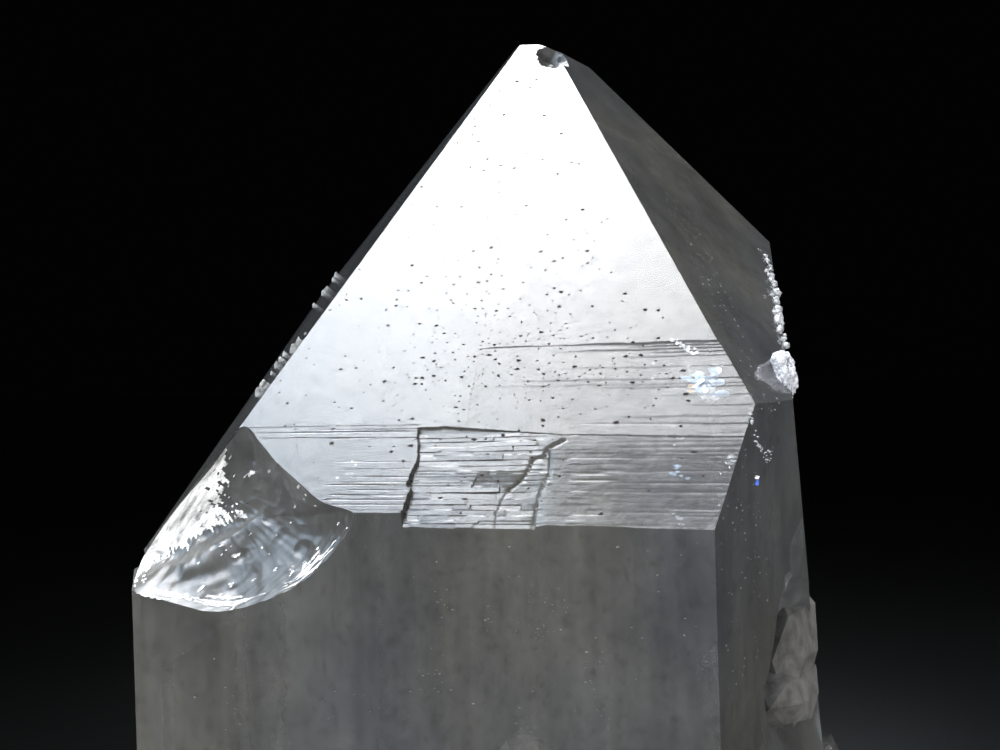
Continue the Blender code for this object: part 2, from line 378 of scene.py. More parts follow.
@dataclass
class BrightFace:
    """The broad tip face: its growth terraces, the stepped plate and its etch pits.

    Places on it are u to the right and v up the slope from its lower right end, w outward.
    """

    plate_outline: tuple[Pair, ...] = (
        (-22.9, -2.0),
        (-22.8, 0.9),
        (-22.6, 2.0),
        (-22.45, 3.0),
        (-22.85, 3.1),
        (-22.7, 4.1),
        (-22.35, 5.3),
        (-22.45, 6.9),
        (-22.75, 7.6),
        (-22.65, 8.5),
        (-20.5, 8.55),
        (-18.3, 8.35),
        (-14.4, 8.0),
        (-11.2, 7.7),
        (12.0, 7.2),
        (12.0, -2.0),
    )
    plate_depth: float = 0.30
    plate_thinning: float = 0.95
    plate_sag: float = 0.12
    cracks: tuple[Groove, ...] = (
        Groove(
            (
                (-10.9, 7.2),
                (-12.1, 6.45),
                (-12.35, 5.75),
                (-13.2, 5.6),
                (-13.6, 4.5),
                (-14.1, 3.8),
                (-14.9, 3.0),
            ),
            0.16,
            0.11,
        ),
        Groove(((-14.9, 3.0), (-15.3, 2.2), (-15.6, 1.2), (-15.7, -2.0)), 0.05, 0.10),
        Groove(((-11.9, 6.3), (-11.85, 4.3), (-12.5, 2.9), (-12.75, 1.2), (-12.9, -2.0)), 0.11, 0.10),
    )
    dark_patch: tuple[Pair, ...] = ((-17.3, 4.6), (-13.5, 4.6), (-14.5, 3.2), (-17.9, 3.2))
    terraces: tuple[Terrace, ...] = (
        Terrace(16.60, -19.6, 2.6, 0.040),
        Terrace(16.45, -12.0, 7.0, 0.030),
        Terrace(16.20, -8.0, 5.0, 0.030),
        Terrace(15.90, -14.0, 6.0, 0.030),
        Terrace(15.55, -6.0, 3.0, 0.025),
        Terrace(15.15, -7.0, 2.0, 0.020),
        Terrace(14.10, -13.0, 4.0, 0.014),
        Terrace(12.90, -17.5, 5.0, 0.018),
        Terrace(12.40, -20.5, 6.0, 0.014),
        Terrace(12.10, -10.0, 4.0, 0.015),
        Terrace(11.30, -6.0, 5.0, 0.012),
        Terrace(10.30, -3.0, 4.0, 0.012),
        Terrace(9.30, -9.0, 4.0, 0.012),
        Terrace(8.60, -4.0, 4.0, 0.015),
    )
    left_rows: tuple[float, ...] = (
        (8.75, 8.4, 8.15, 7.6) + (5.3, 4.6, 3.95, 3.45, 3.2, 2.75, 2.3, 1.9, 1.45, 1.0, 0.55)
    )
    right_row_count: int = 46
    line_depth: float = 0.022
    line_width: float = 0.085
    relief_top: float = 17.6
    relief_left: float = -42.5
    relief_right: float = 7.5
    lift: float = 0.012
    roof: float = 3.0
    pits: int = 600
    deep_pit: float = 0.10
    seed: int = 7

    @property
    def frame(self) -> Matrix:
        """The matrix from u, v, w on the face to the model."""
        across = Vector((1.0, 0.0, 0.0))
        outward = BRIGHT_FACE.normal
        turn = Matrix((across, outward.cross(across), outward)).transposed().to_4x4()
        return Matrix.Translation(DATUM.origin + outward * BRIGHT_FACE.distance * MM) @ turn

    def left_lines(self, u: np.ndarray, v: np.ndarray) -> np.ndarray:
        """The fine growth lines left of the plate.

        Args:
            u: places to the right.
            v: places up the slope.

        Returns:
            Depths in millimetres.
        """
        rng = np.random.RandomState(self.seed)
        depth = np.zeros(u.shape)
        for row in self.left_rows:
            start = rng.uniform(-41.0, -34.0) if row > 7.0 else rng.uniform(-33.0, -29.0)
            slope = rng.uniform(-0.012, 0.004)
            centre = row + slope * (u + 30.0)
            width = self.line_width * rng.uniform(0.6, 1.5)
            reach = smoothstep(start, start + 4.0, u) * smoothstep(-22.2, -23.0, u)
            strength = rng.uniform(0.7, 1.9)
            depth += self.line_depth * strength * reach * np.exp(-(((v - centre) / width) ** 2))
        return depth

    def bricks(self, u: np.ndarray, v: np.ndarray) -> np.ndarray:
        """The brick-like steps inside the plate.

        Args:
            u: places to the right.
            v: places up the slope.

        Returns:
            Depths in millimetres.
        """
        rng = np.random.RandomState(self.seed + 1)
        depth = np.zeros(u.shape)
        top = 8.4
        level = 0.0
        while top > -1.0:
            height = rng.uniform(0.20, 0.62)
            level += rng.uniform(0.004, 0.016)
            left = -24.0 + rng.uniform(0.0, 1.0)
            row = (v <= top) & (v > top - height)
            while left < -10.5:
                length = rng.choice((0.8, 1.4, 2.6, 4.6)) * rng.uniform(0.8, 1.2)
                sink = level + rng.uniform(-0.016, 0.016)
                rise = rng.uniform(-0.02, 0.06)
                slant = rng.uniform(-0.02, 0.02)
                cell = row & (u >= left) & (u < left + length)
                depth[cell] = sink + rise * (v[cell] - top + height) + slant * (u[cell] - left)
                left += length
            top -= height
        fade = smoothstep(8.4, 7.9, v) * (1.0 - smoothstep(-13.0, -12.0, u) * 0.85)
        return depth * fade

    def right_lines(self, u: np.ndarray, v: np.ndarray) -> np.ndarray:
        """The long growth lines right of the plate's cracks.

        Args:
            u: places to the right.
            v: places up the slope.

        Returns:
            Depths in millimetres.
        """
        rng = np.random.RandomState(self.seed + 2)
        depth = np.zeros(u.shape)
        for _ in range(self.right_row_count):
            row = rng.uniform(-0.2, 9.6)
            start = rng.uniform(-13.0, -1.0)
            length = rng.uniform(3.0, 16.0)
            width = self.line_width * rng.uniform(0.6, 1.6)
            reach = smoothstep(start, start + 1.0, u) * smoothstep(start + length, start + length - 1.0, u)
            strength = 0.27 * self.line_depth * rng.uniform(0.2, 1.0)
            depth += strength * reach * np.exp(-(((v - row) / width) ** 2))
        return depth * smoothstep(-13.2, -12.2, u)

    def depth(self, u: np.ndarray, v: np.ndarray) -> np.ndarray:
        """How deep the surface lies under the flat face.

        Args:
            u: places to the right.
            v: places up the slope.

        Returns:
            Depths in millimetres.
        """
        total = self.left_lines(u, v) + self.right_lines(u, v)
        wave = 0.05 * np.sin(0.9 * u) + 0.03 * np.sin(2.3 * u + 1.0)
        for step in self.terraces:
            below = smoothstep(step.row + 0.05, step.row - 0.05, v + wave * 0.6)
            total += step.drop * below * smoothstep(step.start, step.start + step.fade, u)
        plate = inside_outline(u, v, self.plate_outline)
        rightward = smoothstep(-20.5, -10.5, u)
        edge = self.plate_depth * (1.0 - self.plate_thinning * rightward * smoothstep(-0.5, 8.2, v))
        low = self.plate_sag * smoothstep(8.0, 0.0, v) * (1.0 - 0.6 * rightward)
        right_step = 0.05 * smoothstep(0.0, 0.3, u + 12.6) * smoothstep(8.0, 4.5, v)
        total += plate * (edge + low + self.bricks(u, v) + right_step)
        total += inside_outline(u, v, self.dark_patch) * (0.03 + 0.09 * (4.6 - v))
        for crack in self.cracks:
            away = segment_distance(u, v, crack.path) / crack.width
            total += crack.depth * np.exp(-(away**2))
        return total

    def relief_tool(self) -> bpy.types.Object:
        """The body that carves the terraces, the plate and the growth lines.

        Returns:
            The cutter, a sheet under a flat roof.
        """
        left = np.linspace(self.relief_left, -23.5, 36)
        middle = np.linspace(-23.4, -10.4, 105)
        right = np.linspace(-10.0, self.relief_right, 36)
        across = np.concatenate([left, middle, right])
        up = np.concatenate([np.linspace(-1.6, 9.2, 181), np.linspace(9.28, self.relief_top, 94)])
        u, v = np.meshgrid(across, up)
        depth = self.depth(u, v)
        w = np.where(depth < self.lift, self.lift, -depth)
        sheet = np.stack([u, v, w], axis=2) * MM
        bm = bmesh.new()
        rows = Workshop.add_grid(bm, sheet)
        rim = rows[0] + [row[-1] for row in rows[1:]] + rows[-1][-2::-1] + [row[0] for row in rows[-2:0:-1]]
        roof = [bm.verts.new((vert.co.x, vert.co.y, self.roof * MM)) for vert in rim]
        for here in range(len(rim)):
            after = (here + 1) % len(rim)
            bm.faces.new((rim[here], rim[after], roof[after], roof[here]))
        bm.faces.new(roof)
        bmesh.ops.transform(bm, matrix=self.frame, verts=bm.verts)
        return Workshop.object_from("growth_terraces", bm, Zone.TERRACE)

    def pit_places(self, count: int) -> list[tuple[float, float, float]]:
        """Where the etch pits lie, and how wide each is.

        Args:
            count: how many pits there are.

        Returns:
            Places on the face with each pit's half width.
        """
        rng = random.Random(self.seed)
        places: list[tuple[float, float, float]] = []
        while len(places) < count:
            v = rng.uniform(0.6, 56.0)
            half = 23.0 * (1.0 - v / 62.0)
            u = rng.uniform(-19.0 - half, -19.0 + half)
            crowd = math.exp(-(((v - 15.0) / 7.5) ** 2)) * math.exp(-(((u + 16.5) / 8.5) ** 2))
            patch = math.exp(-(((v - 13.6) / 1.9) ** 2)) * math.exp(-(((u + 7.5) / 4.0) ** 2))
            if rng.random() > 0.05 + 0.6 * crowd + 0.8 * patch:
                continue
            size = rng.choice((0.05, 0.05, 0.06, 0.07, 0.08, 0.10, 0.14)) * rng.uniform(0.85, 1.2)
            if all(math.hypot(u - a, v - b) > 1.6 * (size + c) + 0.08 for a, b, c in places):
                places.append((u, v, size))
        return places

    def ground(self, u: float, v: float) -> float:
        """How deep the surface lies at one place.

        Args:
            u: place to the right.
            v: place up the slope.

        Returns:
            The depth in millimetres.
        """
        if v < self.relief_top and self.relief_left < u < self.relief_right:
            depth = float(self.depth(np.array([[u]]), np.array([[v]]))[0, 0])
            return depth if depth > self.lift else 0.0
        return 0.0

    def pit_tool(self) -> bpy.types.Object:
        """The larger angular pits of the bright face.

        Returns:
            One set of cutters.
        """
        rng = random.Random(self.seed + 3)
        bm = bmesh.new()
        for u, v, size in self.pit_places(self.pits):
            if size < self.deep_pit:
                continue
            pit = bmesh.ops.create_cone(
                bm,
                cap_ends=True,
                segments=rng.choice((4, 5, 6)),
                radius1=0.3 * size * MM,
                radius2=1.3 * size * MM,
                depth=2.0 * size * MM,
            )["verts"]
            stretch = Matrix.Diagonal((rng.uniform(0.9, 1.6), rng.uniform(0.7, 1.0), 1.0, 1.0))
            turn = Matrix.Rotation(rng.uniform(0.0, math.tau), 4, "Z")
            place = Matrix.Translation(Vector((u, v, size * 0.3 - self.ground(u, v))) * MM)
            bmesh.ops.transform(bm, matrix=self.frame @ place @ stretch @ turn, verts=pit)
        return Workshop.object_from("etch_pits", bm, Zone.PIT)


@dataclass
class CornerChip:
    """The shell-shaped chip at the front left corner."""

    rim: tuple[Point, ...] = (
        (-26.7, 0.0, 1.0),
        (-27.2, 0.0, -0.6),
        (-28.6, 0.0, -2.3),
        (-30.3, 0.0, -3.9),
        (-32.4, 0.0, -5.2),
        (-35.6, 0.0, -6.4),
        (-38.8, 0.0, -6.9),
        (-42.0, 0.0, -6.3),
        (-45.3, 0.0, -5.6),
        (-47.0, 3.0, -4.1),
        (-46.3, 4.6, -1.8),
        (-43.9, 5.0, 1.2),
        (-41.3, 5.1, 3.9),
        (-38.3, 5.1, 7.3),
        (-36.2, 4.0, 6.1),
        (-34.2, 2.8, 4.6),
        (-31.8, 1.7, 3.1),
        (-29.4, 0.6, 1.7),
    )
    middle: Point = (-37.6, 2.6, 0.8)
    outward: Point = (-0.230, -0.893, 0.388)
    depth: float = 2.3
    clearance: float = 5.0
    steps: int = 220
    rings: int = 84
    strike: Point = (-44.0, 2.0, 3.5)

    def ripple(self, place: Vector, reach: float) -> float:
        """The height of the break's ripples, hackles and facets at a place on it.

        Args:
            place: millimetres from the corner.
            reach: 0 in the middle of the chip and 1 on its rim.

        Returns:
            How far the surface is pushed inward, in millimetres.
        """
        away = (place - Vector(self.strike)).length
        lower = min(1.0, max(0.0, (place.x + 42.0) / 9.0)) * min(1.0, max(0.0, (3.0 - place.z) / 5.0))
        outer = max(0.0, (reach - 0.60) / 0.40)
        rings = 0.085 * math.cos(7.2 * away + 0.8 * noise.noise(place * 0.5)) * outer * lower
        shell = 0.05 * math.cos(3.0 * away) * (1.0 - outer)
        turn = math.atan2(place.z - self.strike[2], place.x - self.strike[0])
        hackle = 0.12 * noise.noise(Vector((away * 0.22, turn * 9.0, 5.0)))
        hackle += 0.05 * noise.noise(Vector((away * 0.6, turn * 24.0, 8.0)))
        facet = 0.40 * noise.noise(place * 0.36 + Vector((3.0, 1.0, 7.0)))
        flat = 0.26 * abs(noise.noise(place * 0.55 + Vector((9.0, 4.0, 2.0))))
        calm = min(1.0, (1.0 - reach) * 4.0)
        return rings + (shell + facet + flat) * calm + hackle * min(1.0, (1.0 - reach) * 12.0)

    def surface(self) -> tuple[list[Vector], list[list[Vector]]]:
        """The shape that the chip left.

        Returns:
            The rim's points, and the bowl's rings from the rim inward, in millimetres.
        """
        outward = Vector(self.outward).normalized()
        middle = Vector(self.middle)
        rim = closed_curve(self.rim, self.steps)
        rings = []
        for step in range(self.rings, 0, -1):
            reach = (step / self.rings) ** 0.8
            sunk = self.depth * (1.0 - reach**2.6)
            ring = []
            for point in rim:
                place = middle.lerp(point, reach)
                ring.append(place - outward * (sunk + self.ripple(place, reach)))
            rings.append(ring)
        return rim, rings

    def tool(self) -> bpy.types.Object:
        """The body that the chip took away.

        Returns:
            The cutter.
        """
        outward = Vector(self.outward).normalized()
        middle = Vector(self.middle)
        rim, shells = self.surface()
        bm = bmesh.new()
        rings = [[bm.verts.new(DATUM.at(point + outward * self.clearance)) for point in rim]]
        for shell in shells:
            rings.append([bm.verts.new(DATUM.at(point)) for point in shell])
        bottom = bm.verts.new(DATUM.at(middle - outward * (self.depth + self.ripple(middle, 0.0))))
        top = bm.verts.new(DATUM.at(middle + outward * self.clearance))
        for outer, inner in zip(rings, rings[1:]):
            for here in range(self.steps):
                after = (here + 1) % self.steps
                bm.faces.new((outer[here], outer[after], inner[after], inner[here]))
        for here in range(self.steps):
            after = (here + 1) % self.steps
            bm.faces.new((rings[-1][here], rings[-1][after], bottom))
            bm.faces.new((rings[0][after], rings[0][here], top))
        return Workshop.object_from("corner_chip", bm, Zone.BREAK)


@dataclass
class RoughBall:
    """A ball with its own sizes along X, Y and Z and an uneven surface."""

    middle: Point
    size: Point
    roughness: float
    seed: float
    subdivisions: int = 3
    fine: float = 0.0

    def add_to(self, bm: bmesh.types.BMesh) -> None:
        """Add the ball to a mesh in work.

        Args:
            bm: the mesh in work.
        """
        verts = bmesh.ops.create_icosphere(bm, subdivisions=self.subdivisions, radius=1.0)["verts"]
        offset = Vector((self.seed, 3.1 * self.seed, 0.0))
        place = DATUM.at(self.middle)
        for vert in verts:
            bump = self.roughness * noise.noise(vert.co * 1.7 + offset)
            bump += self.fine * noise.noise(vert.co * 6.0 + offset)
            spot = vert.co * (1.0 + bump)
            scaled = Vector((spot.x * self.size[0], spot.y * self.size[1], spot.z * self.size[2]))
            vert.co = place + scaled * MM


@dataclass
class SmallCrystal:
    """A small six-sided point that leans out of the body."""

    name: str
    foot: Point
    lean: Point
    half_width: float
    length: float
    offset: float

    def tool(self) -> bpy.types.Object:
        """The small crystal, cut level with the foot of the whole.

        Returns:
            A closed body.
        """
        bm = bmesh.new()
        bmesh.ops.create_cube(bm, size=300.0 * MM)
        planes = [FacePlane(0.0, -90.0, 0.0)]
        for side in range(6):
            azimuth = 60.0 * side + 15.0
            width = self.half_width * (1.0 + 0.16 * math.sin(2.3 * side + self.offset))
            planes.append(FacePlane(azimuth, 0.0, width))
            peak = self.length - self.half_width * (0.35 * math.sin(1.7 * side + self.offset) + 0.35)
            planes.append(FacePlane(azimuth, TIP_ELEVATION, peak * math.sin(math.radians(TIP_ELEVATION))))
        Workshop.cleave(bm, Vector((0.0, 0.0, 0.0)), planes)
        turn = Euler([math.radians(angle) for angle in self.lean], "XYZ").to_matrix().to_4x4()
        bmesh.ops.transform(bm, matrix=Matrix.Translation(DATUM.at(self.foot)) @ turn, verts=bm.verts)
        if DATUM.at(self.foot).z < 0.0:
            Workshop.cleave(bm, DATUM.origin, (FOOT,))
        return Workshop.object_from(f"small_{self.name}", bm, Zone.SIDE)


@dataclass
class Ledges:
    """Steps that growth and knocks left on the body faces that the photograph doesn't show."""

    blocks: tuple[tuple[Point, Point, float], ...] = (
        ((-4.0, 63.6, -4.0), (30.0, 5.0, 60.0), 0.0),
        ((-33.0, 63.4, 12.0), (18.0, 4.0, 30.0), 0.0),
        ((12.2, 27.0, -38.0), (10.0, 18.0, 22.0), -3.0),
        ((-49.2, 20.0, -30.0), (6.0, 20.0, 34.0), 1.5),
    )

    def tools(self) -> Iterable[bpy.types.Object]:
        """Make the steps.

        Yields:
            One cutter for each.
        """
        for number, (middle, size, turn) in enumerate(self.blocks):
            bm = bmesh.new()
            bmesh.ops.create_cube(bm, size=1.0)
            bmesh.ops.scale(bm, verts=bm.verts, vec=Vector(size) * MM)
            matrix = Matrix.Translation(DATUM.at(middle)) @ Matrix.Rotation(math.radians(turn), 4, "Z")
            bmesh.ops.transform(bm, matrix=matrix, verts=bm.verts)
            yield Workshop.object_from(f"ledge_{number}", bm, Zone.BODY)


class Nodes:
    """Adds shader nodes to a material."""

    def __init__(self, name: str) -> None:
        """Start a material with a plain Principled shader."""
        self.material = bpy.data.materials.new(name)
        self.material.use_nodes = True
        self.tree = self.material.node_tree
        self.shader = self.tree.nodes["Principled BSDF"]
        self.output = self.tree.nodes["Material Output"]

    def add(self, kind: str, **settings: object) -> bpy.types.Node:
        """Add a node and set its properties.

        Args:
            kind: Blender's name for it.
            settings: its properties and their values.

        Returns:
            The node.
        """
        node = self.tree.nodes.new(kind)
        for name, value in settings.items():
            setattr(node, name, value)
        return node

    def link(self, source: bpy.types.NodeSocket, target: bpy.types.NodeSocket) -> None:
        """Join two sockets."""
        self.tree.links.new(source, target)

    def places(self, stretch: Point, lean: float = 0.0) -> bpy.types.NodeSocket:
        """The surface's own places, scaled along X, Y and Z.

        Args:
            stretch: the scale along each axis, for lengths in metres.
            lean: how far the axes lean to the right, in degrees.

        Returns:
            The scaled places.
        """
        where = self.add("ShaderNodeTexCoord")
        scale = self.add("ShaderNodeMapping", vector_type="TEXTURE")
        scale.inputs["Rotation"].default_value = (0.0, math.radians(lean), 0.0)
        scale.inputs["Scale"].default_value = tuple(1.0 / part for part in stretch)
        self.link(where.outputs["Object"], scale.inputs["Vector"])
        return scale.outputs["Vector"]

    def noise(
        self,
        stretch: Point,
        detail: float,
        roughness: float = 0.55,
        lean: float = 0.0,
    ) -> bpy.types.NodeSocket:
        """Cloudy noise.

        Args:
            stretch: how many clouds there are to the metre along each axis.
            detail: how many finer layers it has.
            roughness: how strong the finer layers are.
            lean: how far the axes lean to the right, in degrees.

        Returns:
            Values about 0 to 1.
        """
        cloud = self.add("ShaderNodeTexNoise")
        cloud.inputs["Scale"].default_value = 1.0
        cloud.inputs["Detail"].default_value = detail
        cloud.inputs["Roughness"].default_value = roughness
        self.link(self.places(stretch, lean), cloud.inputs["Vector"])
        return cloud.outputs["Fac"]

    def ramp(
        self,
        value: bpy.types.NodeSocket,
        stops: Sequence[tuple[float, Colour]],
    ) -> bpy.types.NodeSocket:
        """Turn values into colours.

        Args:
            value: the values.
            stops: pairs of value and colour.

        Returns:
            The colours.
        """
        node = self.add("ShaderNodeValToRGB")
        while len(node.color_ramp.elements) < len(stops):
            node.color_ramp.elements.new(0.5)
        for element, (place, colour) in zip(node.color_ramp.elements, stops):
            element.position = place
            element.color = colour
        self.link(value, node.inputs["Fac"])
        return node.outputs["Color"]

    def blend(
        self,
        mode: str,
        share: bpy.types.NodeSocket | float,
        first: bpy.types.NodeSocket,
        second: bpy.types.NodeSocket | Colour,
    ) -> bpy.types.NodeSocket:
        """Blend two colours.

        Args:
            mode: how the second goes over the first.
            share: how much of the second shows.
            first: the colour below.
            second: the colour above.

        Returns:
            The blend.
        """
        node = self.add("ShaderNodeMix", data_type="RGBA", blend_type=mode)
        for socket, value in ((node.inputs[0], share), (node.inputs[6], first), (node.inputs[7], second)):
            if isinstance(value, bpy.types.NodeSocket):
                self.link(value, socket)
            else:
                socket.default_value = value
        return node.outputs[2]

    def face_value(self, name: str) -> bpy.types.NodeSocket:
        """A value kept on the mesh's faces."""
        return self.add("ShaderNodeAttribute", attribute_name=name).outputs["Fac"]

    def bump(self, height: bpy.types.NodeSocket, strength: float, distance: float) -> None:
        """Give the shader fine relief.

        Args:
            height: the relief's height.
            strength: how strongly it shows.
            distance: how high it is, in metres.
        """
        node = self.add("ShaderNodeBump")
        node.inputs["Strength"].default_value = strength
        node.inputs["Distance"].default_value = distance
        self.link(height, node.inputs["Height"])
        self.link(node.outputs["Normal"], self.shader.inputs["Normal"])


class Finish(Protocol):
    """What a piece is made of."""

    def material(self) -> bpy.types.Material:
        """The finish as a material."""


@dataclass(frozen=True)
class ClearQuartz:
    """Clear quartz with a thin cloudy haze, glossy faces, glassy breaks, and pits painted near black as
    painted shade.
    """

    transmission: float = 0.92
    absorption: Colour = (0.60, 0.59, 0.55, 1.0)
    density: float = 30.0
    clear: Colour = (0.44, 0.45, 0.47, 1.0)
    cloudy: Colour = (0.92, 0.92, 0.90, 1.0)
    # Near black painted into the pit faces: painted shade for the dark the pits show.
    pit: Colour = (0.02, 0.018, 0.015, 1.0)
    face_roughness: float = 0.06
    bright_roughness: float = 0.18
    break_roughness: float = 0.28

    def material(self) -> bpy.types.Material:
        """The material of the whole crystal.

        Returns:
            The material, which reads each face's polish and pit values; the pit value paints the pits near
            black as painted shade.
        """
        nodes = Nodes("clear_quartz")
        shader = nodes.shader
        shader.inputs["IOR"].default_value = QUARTZ_IOR
        shader.inputs["Transmission Weight"].default_value = self.transmission
        volume = nodes.add("ShaderNodeVolumeAbsorption")
        volume.inputs["Color"].default_value = self.absorption
        volume.inputs["Density"].default_value = self.density
        nodes.link(volume.outputs["Volume"], nodes.output.inputs["Volume"])
        nodes.link(self.haze(nodes), shader.inputs["Base Color"])
        nodes.link(nodes.face_value("polish"), shader.inputs["Roughness"])
        nodes.bump(nodes.noise((700.0, 700.0, 700.0), 4.0, 0.6), 0.10, 0.0004)
        return nodes.material

    def haze(self, nodes: Nodes) -> bpy.types.NodeSocket:
        """The cloudy colour: clouds, streaks, grain and a slight tint, with the pits painted near black as
        painted shade.

        Args:
            nodes: the material in work.

        Returns:
            The colour.
        """
        clouds = nodes.ramp(
            nodes.noise((85.0, 85.0, 60.0), 8.0, 0.68),
            ((0.32, self.clear), (0.68, self.cloudy)),
        )
        streaks = nodes.ramp(
            nodes.noise((900.0, 900.0, 70.0), 3.0),
            ((0.35, (0.84, 0.84, 0.85, 1.0)), (0.65, (1.0, 1.0, 1.0, 1.0))),
        )
        grain = nodes.ramp(
            nodes.noise((1300.0, 1300.0, 1100.0), 6.0, 0.7),
            ((0.30, (0.62, 0.62, 0.58, 1.0)), (0.48, (0.94, 0.94, 0.94, 1.0)), (0.74, (1.0, 1.0, 1.0, 1.0))),
        )
        tint = nodes.ramp(
            nodes.noise((50.0, 50.0, 30.0), 2.0),
            ((0.42, (0.95, 0.97, 1.0, 1.0)), (0.62, (1.0, 0.98, 0.90, 1.0))),
        )
        colour = nodes.blend("MULTIPLY", 1.0, clouds, streaks)
        colour = nodes.blend("MULTIPLY", 0.8, colour, grain)
        colour = nodes.blend("MULTIPLY", 1.0, colour, tint)
        # Painted shade: the pit faces are mixed to near black.
        return nodes.blend("MIX", nodes.face_value("pit"), colour, self.pit)


@dataclass(frozen=True)
class FrostedQuartz:
    """White crushed or sugary quartz.

    Grain counts its clouds to the metre along each axis, lean is how far the axes lean to the right,
    and shade is how light the dark parts are beside the light ones.
    """

    name: str
    colour: Colour
    transmission: float
    roughness: float
    grain: Point = (2600.0, 2600.0, 2600.0)
    relief: float = 0.8
    lean: float = 0.0
    shade: float = 0.55

    def material(self) -> bpy.types.Material:
        """The material of a frosted piece.

        Returns:
            The material.
        """
        nodes = Nodes(self.name)
        shader = nodes.shader
        shader.inputs["IOR"].default_value = QUARTZ_IOR
        shader.inputs["Transmission Weight"].default_value = self.transmission
        shader.inputs["Roughness"].default_value = self.roughness
        cloud = nodes.noise(self.grain, 4.0, 0.6, self.lean)
        low = tuple(self.shade * part for part in self.colour[:3]) + (1.0,)
        nodes.link(nodes.ramp(cloud, ((0.35, low), (0.60, self.colour))), shader.inputs["Base Color"])
        nodes.bump(cloud, self.relief, 0.0002)
        return nodes.material


@dataclass(frozen=True)
class Sparkle:
    """An inner crack face that throws back one strong colour."""

    name: str
    colour: Colour
    glow: float = 0.25

    def material(self) -> bpy.types.Material:
        """The material of one crack face.

        Returns:
            The material.
        """
        nodes = Nodes(self.name)
        nodes.shader.inputs["Base Color"].default_value = self.colour
        nodes.shader.inputs["Metallic"].default_value = self.glow
        nodes.shader.inputs["Roughness"].default_value = 0.35
        nodes.shader.inputs["Specular IOR Level"].default_value = 0.5
        return nodes.material


@dataclass(frozen=True)
class PitShadeFinish:
    """Dull brown-black finish of the flakes in the pits: painted shade for the dark the pits show."""

    name: str = "pit_painted_shade"
    # Near black: painted shade, put where the pits are only dark.
    colour: Colour = (0.035, 0.030, 0.028, 1.0)

    def material(self) -> bpy.types.Material:
        """The material of the painted pit shade.

        Returns:
            The material.
        """
        nodes = Nodes(self.name)
        nodes.shader.inputs["Base Color"].default_value = self.colour
        nodes.shader.inputs["Roughness"].default_value = 0.9
        nodes.shader.inputs["Specular IOR Level"].default_value = 0.0
        return nodes.material


